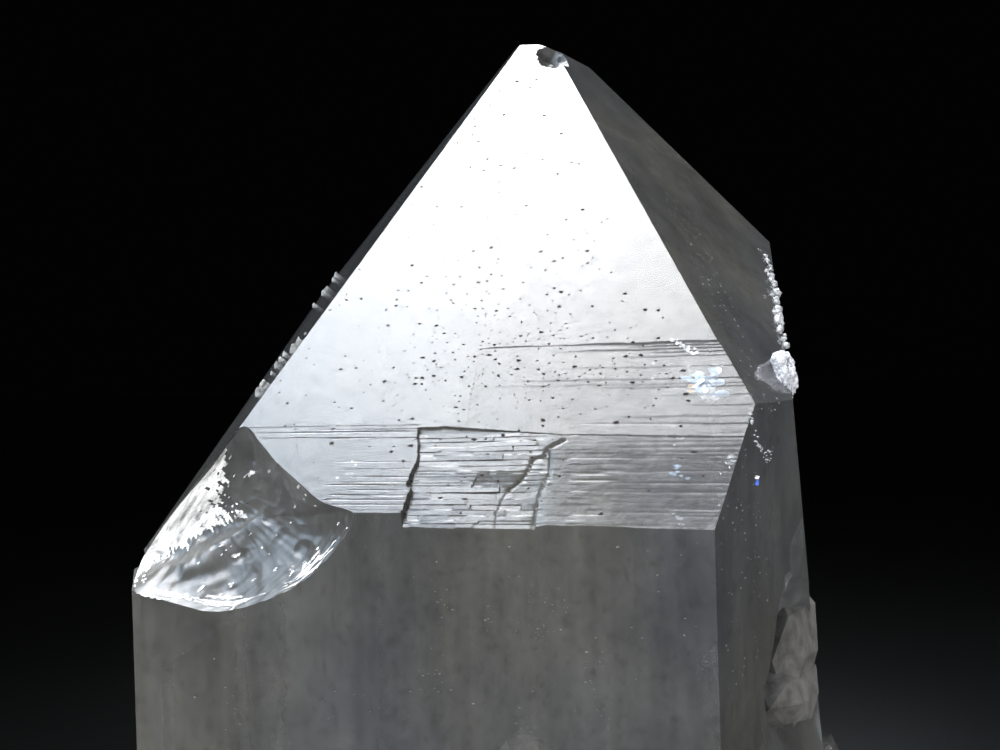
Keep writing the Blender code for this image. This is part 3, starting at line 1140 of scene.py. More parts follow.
@dataclass
class CrystalPoint:
    """The whole crystal as one closed mesh."""

    blank: float = 300.0
    weld: float = 0.0002
    broad_area: float = 4.0
    rounded_below: float = 24.0
    face: BrightFace = field(default_factory=BrightFace)
    chip: CornerChip = field(default_factory=CornerChip)
    ledges: Ledges = field(default_factory=Ledges)
    finish: ClearQuartz = field(default_factory=ClearQuartz)
    hollows: tuple[RoughBall, ...] = (
        RoughBall((-14.8, 36.1, 48.4), (2.5, 2.5, 2.8), 0.2, 5.0, 4, 0.12),
        RoughBall((13.6, 8.6, -15.5), (10.4, 10.4, 13.0), 0.08, 2.0, 5, 0.035),
        RoughBall((15.4, 9.8, -31.0), (9.0, 10.5, 15.0), 0.16, 3.0, 5, 0.035),
    )
    side_crystals: tuple[SmallCrystal, ...] = (
        SmallCrystal("right_lower", (4.2, 18.5, -66.0), (-2.0, 4.0, 40.0), 4.8, 46.0, -0.7),
        SmallCrystal("right_foot", (2.6, 32.0, -66.0), (-6.0, 17.0, 5.0), 6.4, 42.0, 0.6),
        SmallCrystal("right_back", (0.0, 48.0, -66.0), (-10.0, 10.0, 22.0), 5.8, 52.0, -1.0),
        SmallCrystal("back_low", (-20.0, 58.0, -66.0), (-12.0, -3.0, 8.0), 6.2, 38.0, 0.8),
        SmallCrystal("left_parallel", (-44.5, 39.0, -64.0), (0.0, -1.5, 3.0), 7.4, 82.0, 1.4),
        SmallCrystal("left_foot", (-41.0, 25.0, -66.0), (4.0, -14.0, 14.0), 5.0, 32.0, -0.5),
        SmallCrystal("front_foot", (-9.0, 4.5, -66.0), (9.0, 5.0, 33.0), 4.6, 27.0, 0.4),
    )

    def body(self) -> bpy.types.Object:
        """The broad point, cut to its flat faces.

        Returns:
            The point.
        """
        bm = bmesh.new()
        bmesh.ops.create_cube(bm, size=self.blank * MM)
        bmesh.ops.translate(bm, verts=bm.verts, vec=DATUM.origin)
        sides = (FRONT_FACE, RIGHT_FRONT_FACE) + FLANKS
        Workshop.cleave(bm, DATUM.origin, (BRIGHT_FACE,) + TIP_FACES + sides + (TIP_BREAK, TIP_SLOPE, FOOT))
        return Workshop.object_from("quartz_point", bm, Zone.BODY)

    def build(self) -> bpy.types.Object:
        """Cut and grow the whole crystal, and dress it.

        Returns:
            The finished crystal.
        """
        crystal = self.body()
        for tool in self.ledges.tools():
            Workshop.apply(crystal, tool, "DIFFERENCE")
        for number, hollow in enumerate(self.hollows):
            bm = bmesh.new()
            hollow.add_to(bm)
            Workshop.apply(crystal, Workshop.object_from(f"hollow_{number}", bm, Zone.BREAK), "DIFFERENCE")
        for small in self.side_crystals:
            Workshop.apply(crystal, small.tool(), "UNION")
        Workshop.apply(crystal, self.chip.tool(), "DIFFERENCE")
        Workshop.apply(crystal, self.face.relief_tool(), "DIFFERENCE")
        Workshop.apply(crystal, self.face.pit_tool(), "DIFFERENCE")
        self.dress(crystal)
        return crystal

    def dress(self, crystal: bpy.types.Object) -> None:
        """Mark the zones, sharpen the true edges and give the crystal its material.

        Args:
            crystal: the finished shape.
        """
        mesh = crystal.data
        names = [slot.name if slot else Zone.BODY.name for slot in mesh.materials]
        count = len(mesh.polygons)
        index = np.zeros(count, dtype=np.int32)
        mesh.polygons.foreach_get("material_index", index)
        normals = np.zeros(count * 3)
        mesh.polygons.foreach_get("normal", normals)
        facing = normals.reshape(-1, 3) @ np.array(BRIGHT_FACE.normal)
        kinds = np.array([Zone[names[number]] for number in index], dtype=object)
        bright = (kinds == Zone.TERRACE) | ((kinds == Zone.BODY) & (facing > 0.9999))
        polish = np.full(count, self.finish.face_roughness, dtype=np.float32)
        polish[kinds == Zone.BREAK] = self.finish.break_roughness
        polish[bright] = self.finish.bright_roughness
        # The pit value marks the faces that the material paints near black as painted shade.
        values = {"polish": polish, "pit": (kinds == Zone.PIT).astype(np.float32)}
        mesh.materials.clear()
        mesh.materials.append(self.finish.material())
        mesh.polygons.foreach_set("material_index", np.zeros(count, dtype=np.int32))
        for name, value in values.items():
            layer = mesh.attributes.new(name, "FLOAT", "FACE")
            layer.data.foreach_set("value", value)
        self.sharpen(mesh)

    def sharpen(self, mesh: bpy.types.Mesh) -> None:
        """Shade curved breaks smooth and keep every flat face flat.

        Args:
            mesh: the finished mesh.
        """
        bm = bmesh.new()
        bm.from_mesh(mesh)
        bmesh.ops.remove_doubles(bm, verts=bm.verts, dist=self.weld * MM)
        bmesh.ops.dissolve_degenerate(bm, dist=self.weld * MM, edges=bm.edges)
        broad = self.broad_area * MM * MM
        turn = math.radians(self.rounded_below)
        planes = [face.normal for face in (BRIGHT_FACE, FRONT_FACE, RIGHT_FRONT_FACE) + TIP_FACES + FLANKS]
        for poly in bm.faces:
            even = any(poly.normal.dot(normal) > 0.9999999 for normal in planes)
            poly.smooth = not even and poly.calc_area() < broad
        for edge in bm.edges:
            flat = any(not poly.smooth for poly in edge.link_faces)
            edge.smooth = len(edge.link_faces) == 2 and not flat and edge.calc_face_angle(0.0) < turn
        bm.to_mesh(mesh)
        bm.free()


@dataclass(frozen=True)
class Flake:
    """One small crack face: its place, which way it looks, its half width and its stretch."""

    middle: Point
    facing: Point
    size: float
    length: float = 1.0


@dataclass
class FlakeCluster:
    """Thin angular flakes of one finish."""

    name: str
    flakes: tuple[Flake, ...]
    finish: Finish
    seed: int = 1
    thickness: float = 0.035

    def add_flake(self, bm: bmesh.types.BMesh, flake: Flake, rng: random.Random) -> None:
        """Add one flake, an uneven rim with a point above and below it.

        Args:
            bm: the mesh in work.
            flake: the flake.
            rng: the source of its unevenness.
        """
        turn = Vector(flake.facing).normalized().to_track_quat("Z", "Y").to_matrix()
        place = DATUM.at(flake.middle)
        rim = []
        sides = rng.randint(6, 9)
        for side in range(sides):
            angle = math.tau * (side + rng.uniform(-0.25, 0.25)) / sides
            reach = flake.size * rng.uniform(0.6, 1.1)
            rise = rng.uniform(-0.1, 0.1) * reach
            spot = Vector((math.cos(angle) * reach * flake.length, math.sin(angle) * reach, rise))
            rim.append(bm.verts.new(place + turn @ spot * MM))
        height = min(self.thickness, 0.5 * flake.size) * MM
        top = bm.verts.new(place + turn @ Vector((0.0, 0.0, height)))
        bottom = bm.verts.new(place - turn @ Vector((0.0, 0.0, height)))
        for here in range(sides):
            after = (here + 1) % sides
            bm.faces.new((rim[here], rim[after], top))
            bm.faces.new((rim[after], rim[here], bottom))

    def build(self) -> bpy.types.Object:
        """Make and dress the flakes.

        Returns:
            One object of them all.
        """
        rng = random.Random(self.seed)
        bm = bmesh.new()
        for flake in self.flakes:
            self.add_flake(bm, flake, rng)
        item = Workshop.object_from(self.name, bm)
        item.data.materials.append(self.finish.material())
        return item


@dataclass(frozen=True)
class Patch:
    """Flakes strewn round a place under the bright face.

    Centre is the patch's middle and reach how far it spreads each way. Sizes and deep hold the
    smallest and the largest half width and depth.
    """

    count: int
    centre: Pair
    reach: Pair
    sizes: Pair
    deep: Pair = (0.06, 0.35)


@dataclass
class Glints:
    """The inner cracks that sparkle near the right end of the bright face."""

    face: BrightFace = field(default_factory=BrightFace)
    white_patches: tuple[Patch, ...] = (
        Patch(14, (0.1, 11.7), (0.40, 0.50), (0.16, 0.42)),
        Patch(5, (-1.3, 14.0), (0.12, 0.25), (0.05, 0.13)),
        Patch(5, (1.1, 14.2), (0.2, 0.35), (0.05, 0.13)),
        Patch(12, (-4.1, 14.0), (0.12, 1.0), (0.04, 0.09)),
        Patch(6, (-2.3, 0.7), (0.22, 0.35), (0.08, 0.18)),
        Patch(6, (1.5, 5.6), (0.15, 0.40), (0.08, 0.22)),
        Patch(8, (-2.3, 7.6), (0.5, 0.4), (0.04, 0.09)),
        Patch(5, (-28.0, 3.8), (0.8, 0.7), (0.06, 0.11), (0.0, 0.02)),
    )
    blue_patches: tuple[Patch, ...] = (
        Patch(26, (0.0, 12.6), (0.55, 0.95), (0.16, 0.46)),
        Patch(8, (-2.3, 4.6), (0.40, 0.50), (0.10, 0.22)),
    )
    orange_patch: Patch = Patch(3, (-1.15, 12.1), (0.10, 0.20), (0.16, 0.26))
    teardrop_top: Flake = Flake((3.40, 5.90, 2.80), (0.5, -0.7, 0.5), 0.24, 1.5)
    teardrop_bottom: Flake = Flake((3.46, 5.98, 2.38), (0.7, -0.6, 0.2), 0.32, 1.0)
    edge_path: tuple[Point, ...] = (
        (3.0, 5.0, 7.9),
        (3.4, 5.6, 6.2),
        (3.8, 6.6, 4.8),
        (4.4, 7.6, 4.1),
        (5.0, 8.7, 4.6),
    )
    seed: int = 21

    def on_face(self, u: float, v: float, deep: float) -> Point:
        """A place under the bright face.

        Args:
            u: place to the right.
            v: place up the slope.
            deep: how far under the surface.

        Returns:
            Millimetres from the corner.
        """
        spot = self.face.frame @ (Vector((u, v, -self.face.ground(u, v) - deep)) * MM)
        return tuple((spot - DATUM.origin) / MM)

    def scattered(self, rng: random.Random, patches: Iterable[Patch]) -> list[Flake]:
        """Strew the flakes of some patches.

        Args:
            rng: the source of their places.
            patches: the patches.

        Returns:
            The flakes.
        """
        flakes = []
        for patch in patches:
            for _ in range(patch.count):
                u = rng.gauss(patch.centre[0], patch.reach[0])
                v = rng.gauss(patch.centre[1], patch.reach[1])
                tilt = Vector((rng.uniform(-0.5, 0.5), rng.uniform(-0.5, 0.5), rng.uniform(-0.3, 0.3)))
                middle = self.on_face(u, v, rng.uniform(*patch.deep))
                facing = tuple(BRIGHT_FACE.normal + tilt)
                flakes.append(Flake(middle, facing, rng.uniform(*patch.sizes), rng.uniform(1.0, 2.2)))
        return flakes

    def right_side(self, rng: random.Random) -> list[Flake]:
        """The glassy crack faces along the edge of the right front face.

        Args:
            rng: the source of their places.

        Returns:
            The flakes.
        """
        flakes = []
        for start, end in zip(self.edge_path, self.edge_path[1:]):
            for _ in range(12):
                spot = Vector(start).lerp(Vector(end), rng.random())
                spot += Vector((rng.uniform(-0.1, 0.1), rng.uniform(-0.1, 0.1), rng.uniform(-0.5, 0.5)))
                facing = (0.5 + rng.uniform(-0.4, 0.4), -0.6, 0.6 + rng.uniform(-0.4, 0.4))
                flakes.append(Flake(tuple(spot), facing, rng.uniform(0.05, 0.13), rng.uniform(1.0, 1.8)))
        return flakes

    def slanting_patch(self, rng: random.Random) -> list[Flake]:
        """The crushed patch that slants down under the top growth step.

        Args:
            rng: the source of their places.

        Returns:
            The flakes.
        """
        flakes = []
        for _ in range(22):
            along = rng.random()
            u = -2.5 + 1.9 * along + rng.gauss(0.0, 0.10)
            v = 16.9 - 1.7 * along + rng.gauss(0.0, 0.14)
            middle = self.on_face(u, v, rng.uniform(-0.03, 0.05))
            tilt = Vector((rng.uniform(-0.6, 0.6), rng.uniform(-0.6, 0.6), rng.uniform(-0.3, 0.3)))
            flakes.append(Flake(middle, tuple(BRIGHT_FACE.normal + tilt), rng.uniform(0.10, 0.28), 1.2))
        return flakes

    def build(self) -> list[bpy.types.Object]:
        """Make and dress the flakes.

        Returns:
            One object of each colour.
        """
        rng = random.Random(self.seed)
        greys = self.right_side(rng)
        slanting = self.slanting_patch(rng)
        whites = slanting[::3] + self.scattered(rng, self.white_patches) + [self.teardrop_top]
        greys += [flake for step, flake in enumerate(slanting) if step % 3]
        blues = self.scattered(rng, self.blue_patches)
        oranges = self.scattered(rng, (self.orange_patch,))
        grey = FrostedQuartz("crack_grey", (0.42, 0.44, 0.47, 1.0), 0.0, 0.3)
        white = FrostedQuartz("crack_white", (0.95, 0.96, 0.97, 1.0), 0.0, 0.4)
        blue = Sparkle("crack_blue", (0.62, 0.80, 1.0, 1.0))
        deep_blue = Sparkle("crack_deep_blue", (0.10, 0.22, 0.85, 1.0))
        orange = Sparkle("crack_orange", (1.0, 0.62, 0.28, 1.0))
        clusters = (
            FlakeCluster("edge_cracks_grey", tuple(greys), grey, 35),
            FlakeCluster("inner_cracks_white", tuple(whites), white, 31),
            FlakeCluster("inner_cracks_blue", tuple(blues), blue, 32),
            FlakeCluster("inner_crack_deep_blue", (self.teardrop_bottom,), deep_blue, 33),
            FlakeCluster("inner_cracks_orange", tuple(oranges), orange, 34),
        )
        return [cluster.build() for cluster in clusters]


@dataclass
class PitShadeFlakes:
    """Dark flakes in the etch pits of the bright face: painted shade."""

    face: BrightFace = field(default_factory=BrightFace)
    seed: int = 61

    def build(self) -> bpy.types.Object:
        """Fill each pit with a dark flake of painted shade, and dress the flakes.

        Returns:
            One object of them all.
        """
        rng = random.Random(self.seed)
        flakes = []
        # One dark flake of painted shade in each pit.
        for u, v, size in self.face.pit_places(self.face.pits):
            spot = self.face.frame @ (Vector((u, v, 0.004 - self.face.ground(u, v))) * MM)
            middle = tuple((spot - DATUM.origin) / MM)
            flakes.append(Flake(middle, tuple(BRIGHT_FACE.normal), size * 1.1, rng.uniform(1.0, 1.9)))
        return FlakeCluster("pit_painted_shade", tuple(flakes), PitShadeFinish(), self.seed, 0.015).build()


@dataclass
class InnerSpecks:
    """Fine white specks and short healed cracks just inside the front faces."""

    front_count: int = 240
    clump_count: int = 14
    right_count: int = 70
    tip_count: int = 110
    seed: int = 41

    def front(self, rng: random.Random) -> list[Flake]:
        """The specks inside the front face, half of them in clumps.

        Args:
            rng: the source of their places.

        Returns:
            The specks.
        """
        flakes = []
        clumps = [(rng.uniform(-44.0, -2.0), rng.uniform(-17.0, -1.5)) for _ in range(self.clump_count)]
        for _ in range(self.front_count):
            if rng.random() < 0.55:
                x, z = rng.choice(clumps)
                x += rng.gauss(0.0, 0.7)
                z += rng.gauss(0.0, 0.9)
            else:
                x = rng.uniform(-45.0, -0.5)
                z = rng.uniform(-40.0, -1.0)
            x = min(-0.6, max(-45.5, x))
            left_clear = 0.3 + 0.6 * max(0.0, -39.0 - x)
            deep = left_clear + rng.uniform(0.05, 1.2)
            if x < -26.0 and z > -8.0:
                continue
            facing = (rng.uniform(-0.5, 0.5), -1.0, rng.uniform(-0.2, 0.8))
            flakes.append(Flake((x, deep, z), facing, rng.uniform(0.025, 0.075), rng.uniform(1.0, 2.6)))
        return flakes

    def right(self, rng: random.Random) -> list[Flake]:
        """The specks inside the right front face.

        Args:
            rng: the source of their places.

        Returns:
            The specks.
        """
        flakes = []
        for _ in range(self.right_count):
            along = rng.uniform(1.0, 9.0)
            spot = Vector((math.sin(math.radians(30.0)), math.cos(math.radians(30.0)), 0.0)) * along
            spot -= Vector((0.866, -0.5, 0.0)) * rng.uniform(0.05, 0.3)
            middle = (spot.x, spot.y, rng.uniform(-12.0, 5.5))
            flakes.append(Flake(middle, (0.8, -0.5, 0.4), rng.uniform(0.05, 0.11), 1.5))
        return flakes

    def tip(self, rng: random.Random) -> list[Flake]:
        """The specks inside the right tip face.

        Args:
            rng: the source of their places.

        Returns:
            The specks.
        """
        flakes = []
        for _ in range(self.tip_count):
            across = rng.uniform(0.5, 9.0)
            up = rng.uniform(-1.0, 30.0)
            base = Vector((3.4, 6.6, 8.5)) + Vector((0.46, 0.80, 0.0)) * across * 0.6
            spot = base + Vector((-0.22, 0.68, 0.70)) * up - FacePlane(60.0, TIP_ELEVATION, 0.0).normal * 0.6
            flakes.append(Flake(tuple(spot), (0.6, -0.5, 0.6), rng.uniform(0.06, 0.14), 1.3))
        return flakes

    def build(self) -> bpy.types.Object:
        """Strew and dress the specks.

        Returns:
            One object of them all.
        """
        rng = random.Random(self.seed)
        flakes = self.front(rng) + self.right(rng) + self.tip(rng)
        finish = FrostedQuartz("inner_speck", (0.95, 0.95, 0.93, 1.0), 0.0, 0.5)
        return FlakeCluster("inner_specks", tuple(flakes), finish, 42, 0.02).build()


@dataclass
class EdgeGrowths:
    """The beads and the lump on the right edge, the rough growth below, and the left edge's grains."""

    run: tuple[Point, ...] = (
        (7.9, 38.6, 23.7),
        (8.15, 35.0, 21.5),
        (8.1, 31.5, 19.1),
        (7.85, 27.5, 16.9),
        (7.75, 23.6, 14.8),
        (7.7, 20.0, 12.9),
    )
    lump: Point = (6.65, 14.6, 10.1)
    rough_growth: tuple[RoughBall, ...] = (
        RoughBall((4.9, 18.4, -13.6), (4.6, 5.6, 7.6), 0.20, 12.0, 2, 0.14),
        RoughBall((4.5, 17.4, -17.0), (4.9, 5.6, 3.8), 0.20, 14.0, 2, 0.14),
        RoughBall((5.4, 20.6, -7.0), (2.7, 4.4, 5.4), 0.20, 17.0, 2, 0.14),
        RoughBall((4.3, 18.8, -23.6), (4.9, 5.0, 5.6), 0.12, 19.0, 2, 0.10),
    )
    left_runs: tuple[tuple[Point, Point], ...] = (
        ((-44.9, 43.5, 24.6), (-47.0, 39.6, 19.8)),
        ((-42.7, 22.7, 13.8), (-42.0, 14.3, 9.3)),
        ((-33.7, 19.5, 20.4), (-38.7, 13.5, 12.6)),
    )
    bead_count: int = 70
    seed: int = 51

    def beads(self, rng: random.Random) -> list[RoughBall]:
        """The run of beads along the right edge.

        Args:
            rng: the source of their places.

        Returns:
            The beads.
        """
        balls = []
        last = self.bead_count - 1
        for number in range(self.bead_count):
            along = number / last * (len(self.run) - 1)
            here = min(int(along), len(self.run) - 2)
            spot = Vector(self.run[here]).lerp(Vector(self.run[here + 1]), along - here)
            inward = rng.uniform(0.0, 1.0) ** 2 * 1.3
            spot += Vector((-0.9 * inward, -0.1 * inward, 0.25 * inward + rng.uniform(-0.2, 0.2)))
            size = rng.uniform(0.18, 0.44) * (1.2 if 18 < number < 54 else 0.8)
            balls.append(RoughBall(tuple(spot), (size, size * 1.3, size * 1.1), 0.3, number * 1.7, 2, 0.2))
        balls.append(RoughBall((6.35, 26.9, 17.8), (0.35, 0.5, 0.3), 0.3, 3.0, 2, 0.2))
        return balls

    def lump_parts(self) -> list[RoughBall]:
        """The white lump.

        Returns:
            Its three grown-together grains.
        """
        x, y, z = self.lump
        return [
            RoughBall((x, y, z - 0.3), (1.05, 1.7, 1.75), 0.26, 8.0, 5, 0.16),
            RoughBall((x + 0.15, y + 0.9, z + 1.0), (0.85, 1.4, 1.2), 0.26, 9.0, 5, 0.16),
            RoughBall((x - 0.35, y - 0.5, z + 1.4), (0.6, 0.9, 0.9), 0.26, 10.0, 4, 0.16),
        ]

    def left_flakes(self, rng: random.Random) -> list[RoughBall]:
        """Thin pale grains on the far left edge.

        Args:
            rng: the source of their places.

        Returns:
            The grains.
        """
        balls = []
        for start, end in self.left_runs:
            for _ in range(9):
                spot = Vector(start).lerp(Vector(end), rng.random())
                size = rng.uniform(0.15, 0.34)
                offset = rng.uniform(0.0, 50.0)
                balls.append(RoughBall(tuple(spot), (size, size, size * 2.4), 0.3, offset, 2, 0.2))
        return balls

    @staticmethod
    def gather(name: str, balls: Iterable[RoughBall], finish: FrostedQuartz) -> bpy.types.Object:
        """Make one dressed object of several grains.

        Args:
            name: its name.
            balls: the grains.
            finish: its finish.

        Returns:
            The object.
        """
        bm = bmesh.new()
        for ball in balls:
            ball.add_to(bm)
        item = Workshop.object_from(name, bm)
        item.data.materials.append(finish.material())
        return item

    def build(self) -> list[bpy.types.Object]:
        """Make and dress the growths.

        Returns:
            One object of each finish.
        """
        rng = random.Random(self.seed)
        coarse = (900.0, 900.0, 700.0)
        rough = FrostedQuartz("rough_grey_quartz", (0.235, 0.23, 0.222, 1.0), 0.50, 0.30, coarse, 0.7)
        sugar = FrostedQuartz("sugary_quartz", (0.80, 0.81, 0.84, 1.0), 0.55, 0.22)
        white = FrostedQuartz("white_lump", (0.72, 0.73, 0.78, 1.0), 0.30, 0.30)
        pale = FrostedQuartz("pale_grain", (0.55, 0.55, 0.54, 1.0), 0.50, 0.30)
        return [
            self.gather("right_rough_growth", self.rough_growth, rough),
            self.gather("edge_beads", self.beads(rng), sugar),
            self.gather("edge_lump", self.lump_parts(), white),
            self.gather("left_edge_grains", self.left_flakes(rng), pale),
        ]


@dataclass
class SkinMesh:
    """A thin closed body that follows the chip's surface, made cell by cell.

    A cell is the ring that it starts on and its place along that ring.
    """

    rings: list[list[Vector]]
    outward: Vector
    lift: float
    sink: float
    bm: bmesh.types.BMesh = field(default_factory=bmesh.new)
    made: dict[tuple[int, int, int], bmesh.types.BMVert] = field(default_factory=dict)

    def corner(self, number: int, here: int, side: int) -> bmesh.types.BMVert:
        """One corner of a cell.

        Args:
            number: its ring.
            here: its place along the ring.
            side: 1 for the outer skin and 0 for the inner one.

        Returns:
            The corner, made on first use.
        """
        here %= len(self.rings[0])
        key = (number, here, side)
        if key not in self.made:
            place = self.rings[number][here]
            away = self.lift + 0.03 * noise.noise(place * 7.0) if side else -self.sink
            self.made[key] = self.bm.verts.new(DATUM.at(place + self.outward * away))
        return self.made[key]

    def fill(self, kept: Sequence[tuple[int, int]]) -> None:
        """Add the cells, with walls where a cell has no neighbour.

        Args:
            kept: the cells.
        """
        steps = len(self.rings[0])
        cells = set(kept)
        for number, here in kept:
            loop = ((number, here), (number, here + 1), (number + 1, here + 1), (number + 1, here))
            self.bm.faces.new([self.corner(a, b, 1) for a, b in loop])
            self.bm.faces.new([self.corner(a, b, 0) for a, b in reversed(loop)])
            walls = (
                ((number - 1, here), loop[1], loop[0]),
                ((number + 1, here), loop[3], loop[2]),
                ((number, (here - 1) % steps), loop[0], loop[3]),
                ((number, (here + 1) % steps), loop[2], loop[1]),
            )
            for beside, start, end in walls:
                if beside not in cells:
                    wall = ((*start, 1), (*end, 1), (*end, 0), (*start, 0))
                    self.bm.faces.new([self.corner(*place) for place in wall])


@dataclass
class ChipFrostAndHighlight:
    """Crushed white quartz along the left rim of the corner chip, and white skin along its lower rim that is
    a painted highlight of the rim's ripples.
    """

    chip: CornerChip = field(default_factory=CornerChip)
    lift: float = 0.045
    sink: float = 0.05
    # Where along the rim the painted highlight arcs start and end.
    highlight_arc_start: float = 0.6
    highlight_arc_end: float = 8.6

    @staticmethod
    def band(around: float, reach: float, place: Vector, grain: float) -> float:
        """The broad crushed band at the left.

        Args:
            around: place along the rim, counted in the rim's own points.
            reach: 0 in the middle of the chip and 1 on its rim.
            place: millimetres from the corner.
            grain: the fine unevenness there.

        Returns:
            Above 0 where the band is.
        """
        streak = noise.noise(Vector(((place.x - place.z) * 0.55, place.y * 0.5, (place.x + place.z) * 2.6)))
        left = max(0.0, 1.0 - abs(around - 10.4) / 3.0)
        return left * (1.75 + 1.0 * streak + 0.5 * grain) + (reach - 1.0) * 1.7 - 0.62

    def highlight_arc(self, around: float, reach: float) -> float:
        """The thin painted highlight arcs along the lower rim: white skin where the rim's ripples catch the
        light.

        Args:
            around: place along the rim, counted in the rim's own points.
            reach: 0 in the middle of the chip and 1 on its rim.

        Returns:
            Above 0 where a painted highlight lies.
        """
        if not self.highlight_arc_start < around < self.highlight_arc_end:
            return -1.0
        ease = min(1.0, (around - self.highlight_arc_start) / 1.5, (self.highlight_arc_end - around) / 1.2)
        ridge = noise.noise(Vector((around * 0.6, reach * 42.0, 4.0)))
        bright = max(0.0, 1.0 - abs(around - 2.9) / 1.3)
        return ease * (0.46 + 0.30 * bright - abs(reach - 0.91) * 7.0 + 1.3 * ridge) - 0.48

    def weight(self, around: float, reach: float, place: Vector) -> float:
        """How strongly the quartz is crushed, or painted with highlight arcs, at a place in the chip.

        Args:
            around: place along the rim, counted in the rim's own points.
            reach: 0 in the middle of the chip and 1 on its rim.
            place: millimetres from the corner.

        Returns:
            Above 0 where the surface is crushed or painted with a highlight.
        """
        grain = noise.noise(place * 3.2 + Vector((5.0, 1.0, 2.0)))
        crumb = noise.noise(place * 9.0)
        fleck = Vector((place.x * 0.8 + place.z * 0.6, place.y, (place.x - place.z) * 2.2 + 9.0))
        inner = 0.9 * noise.noise(fleck) - 0.56
        band = self.band(around, reach, place, grain)
        # The middle term is painted highlight; the band and the flecks are crushed quartz.
        return max(band, self.highlight_arc(around, reach) + 0.25 * grain, inner + 0.2 * grain) + 0.12 * crumb

    def build(self) -> bpy.types.Object:
        """Make the crushed skin, with its painted highlight arcs, and dress it.

        Returns:
            A thin closed body.
        """
        rim, rings = self.chip.surface()
        kept = []
        for number, ring in enumerate(rings[:-1]):
            reach = ((self.chip.rings - number) / self.chip.rings) ** 0.8
            for here, place in enumerate(ring):
                if self.weight(here * len(self.chip.rim) / len(rim), reach, place) > 0.0:
                    kept.append((number, here))
        skin = SkinMesh(rings, Vector(self.chip.outward).normalized(), self.lift, self.sink)
        skin.fill(kept)
        item = Workshop.object_from("chip_crushed_skin_and_highlight", skin.bm)
        fibres = (1900.0, 1900.0, 330.0)
        # One white finish for the crushed quartz and for the painted highlight arcs.
        finish = FrostedQuartz("crushed_quartz_and_highlight", (0.93, 0.93, 0.92, 1.0), 0.30, 0.35, fibres, 1.0, 37.0, 0.28)
        item.data.materials.append(finish.material())
        return item


@dataclass(frozen=True)
class SoftLight:
    """A soft rectangular light aimed at the bright face.

    Toward points from the face to the light. Spread is the full angle of its cone, in degrees. A
    fill doesn't show in mirror images or through the crystal.
    """

    name: str
    toward: Point
    distance: float
    size: Pair
    power: float
    colour: Point
    spread: float
    target: Point = (-18.0, 12.0, 14.0)
    fill: bool = False

    def build(self, receivers: bpy.types.Collection) -> bpy.types.Object:
        """Hang the light.

        Args:
            receivers: what it shines on.

        Returns:
            The light.
        """
        data = bpy.data.lights.new(self.name, "AREA")
        data.shape = "RECTANGLE"
        data.size = self.size[0] * MM
        data.size_y = self.size[1] * MM
        data.energy = self.power
        data.color = self.colour
        data.spread = math.radians(self.spread)
        item = bpy.data.objects.new(self.name, data)
        bpy.context.scene.collection.objects.link(item)
        away = Vector(self.toward).normalized()
        item.location = DATUM.at(Vector(self.target) + away * self.distance)
        item.rotation_euler = away.to_track_quat("Z", "Y").to_euler()
        item.visible_camera = False
        item.visible_glossy = not self.fill
        item.visible_transmission = not self.fill
        item.light_linking.receiver_collection = receivers
        return item


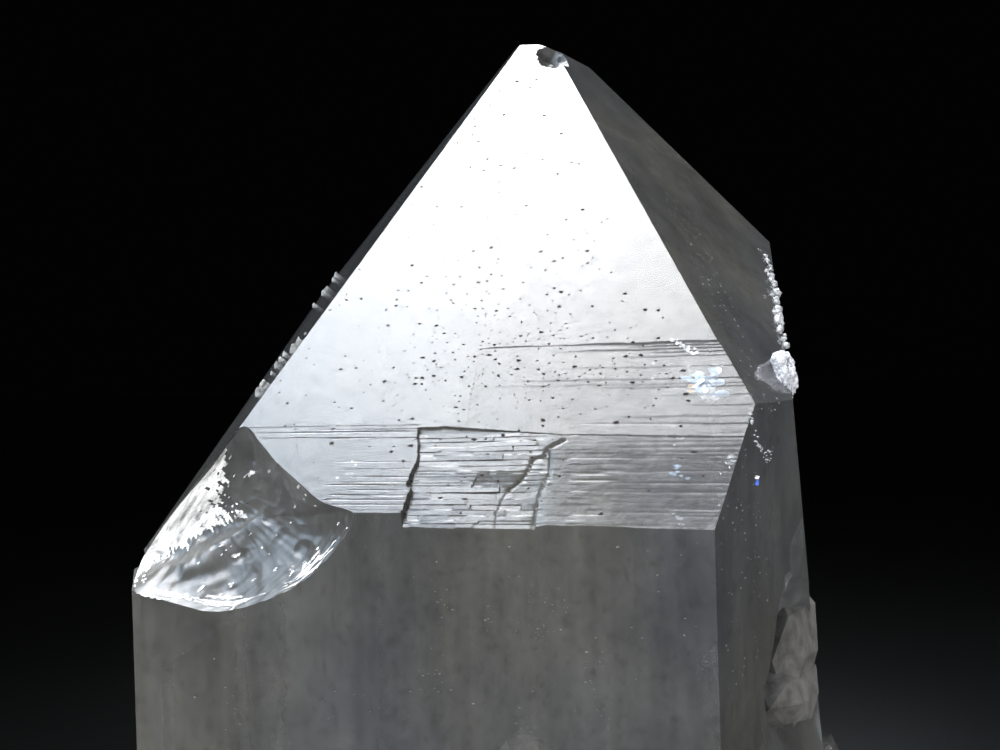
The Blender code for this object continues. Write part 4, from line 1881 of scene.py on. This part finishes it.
@dataclass
class Studio:
    """The floor, the lights and the camera."""

    floor_side: float = 6.0
    room_level: float = 0.0008
    camera_place: Point = (-2.493, -60.995, 11.382)
    camera_turn: Point = (11.53, -0.25, -1.72)
    camera_lens: float = 30.6
    lights: tuple[SoftLight, ...] = (
        SoftLight("overhead", (-0.16, 0.08, 0.98), 210.0, (420.0, 420.0), 1.66, (0.965, 0.972, 1.0), 71.0),
        SoftLight("left_sky", (-0.62, -0.30, 0.72), 230.0, (240.0, 240.0), 0.29, (0.58, 0.77, 1.0), 110.0),
        SoftLight("right_fill", (0.85, -0.35, -0.20), 150.0, (120.0, 90.0), 0.12, WHITE, 120.0, fill=True),
        SoftLight("back_fill", (0.25, 0.95, 0.15), 260.0, (200.0, 120.0), 0.60, WHITE, 120.0, fill=True),
        SoftLight("front_fill", (-0.42, -0.90, -0.02), 260.0, (160.0, 120.0), 0.56, WHITE, 120.0, fill=True),
    )

    def floor(self) -> bpy.types.Object:
        """A plain pale floor.

        Returns:
            The floor, which isn't part of the object.
        """
        bm = bmesh.new()
        bmesh.ops.create_grid(bm, x_segments=1, y_segments=1, size=self.floor_side / 2)
        item = Workshop.object_from("floor", bm)
        material = bpy.data.materials.new("floor_paper")
        material.use_nodes = True
        shader = material.node_tree.nodes["Principled BSDF"]
        shader.inputs["Base Color"].default_value = (0.72, 0.72, 0.73, 1.0)
        shader.inputs["Roughness"].default_value = 0.9
        shader.inputs["Specular IOR Level"].default_value = 0.1
        item.data.materials.append(material)
        item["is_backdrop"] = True
        return item

    def camera(self) -> bpy.types.Object:
        """Set the camera at the photograph's place.

        Returns:
            The camera.
        """
        data = bpy.data.cameras.new("camera")
        data.lens = self.camera_lens
        data.sensor_width = 36.0
        data.clip_start = 0.002
        data.clip_end = 20.0
        item = bpy.data.objects.new("camera", data)
        bpy.context.scene.collection.objects.link(item)
        yaw, pitch, roll = (math.radians(angle) for angle in self.camera_turn)
        turn = Matrix.Rotation(yaw, 4, "Z") @ Matrix.Rotation(math.pi / 2 + pitch, 4, "X")
        place = Matrix.Translation(DATUM.at(self.camera_place))
        item.matrix_world = place @ turn @ Matrix.Rotation(roll, 4, "Z")
        bpy.context.scene.camera = item
        return item

    def surroundings(self) -> None:
        """A dark, even room."""
        world = bpy.data.worlds.new("room")
        world.use_nodes = True
        back = world.node_tree.nodes["Background"]
        back.inputs["Color"].default_value = WHITE + (1.0,)
        back.inputs["Strength"].default_value = self.room_level
        bpy.context.scene.world = world
        bpy.context.scene.view_settings.view_transform = "Standard"

    def build(self, pieces: Sequence[bpy.types.Object]) -> None:
        """Set up the studio around the pieces.

        Args:
            pieces: what the lights shine on.
        """
        self.camera()
        self.floor()
        self.surroundings()
        lit = bpy.data.collections.new("lit_crystal")
        for piece in pieces:
            lit.objects.link(piece)
        for light in self.lights:
            light.build(lit)


def write_sizes() -> None:
    """Work out the CAD box and the dressed box; they are not kept, written or compared."""
    boxes = {"cad": CAD_BOUNDS, "visual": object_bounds()}
    plain = {name: [[float(value) for value in corner] for corner in box] for name, box in boxes.items()}


def main() -> None:
    """Build the crystal, its growths and the studio."""
    logging.basicConfig(level=logging.INFO, format="%(name)s: %(message)s")
    pieces = [CrystalPoint().build()]
    pieces += EdgeGrowths().build()
    # Crushed quartz in the chip, with painted highlight arcs on its lower rim.
    pieces.append(ChipFrostAndHighlight().build())
    # Dark flakes of painted shade in the etch pits.
    pieces.append(PitShadeFlakes().build())
    pieces += Glints().build()
    pieces.append(InnerSpecks().build())
    for piece in pieces:
        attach(piece, ROOT_BODY)
        log.info("%s: %d faces", piece.name, len(piece.data.polygons))
    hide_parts(NODE)
    Studio().build(pieces)
    write_sizes()


if __name__ == "__main__":
    main()
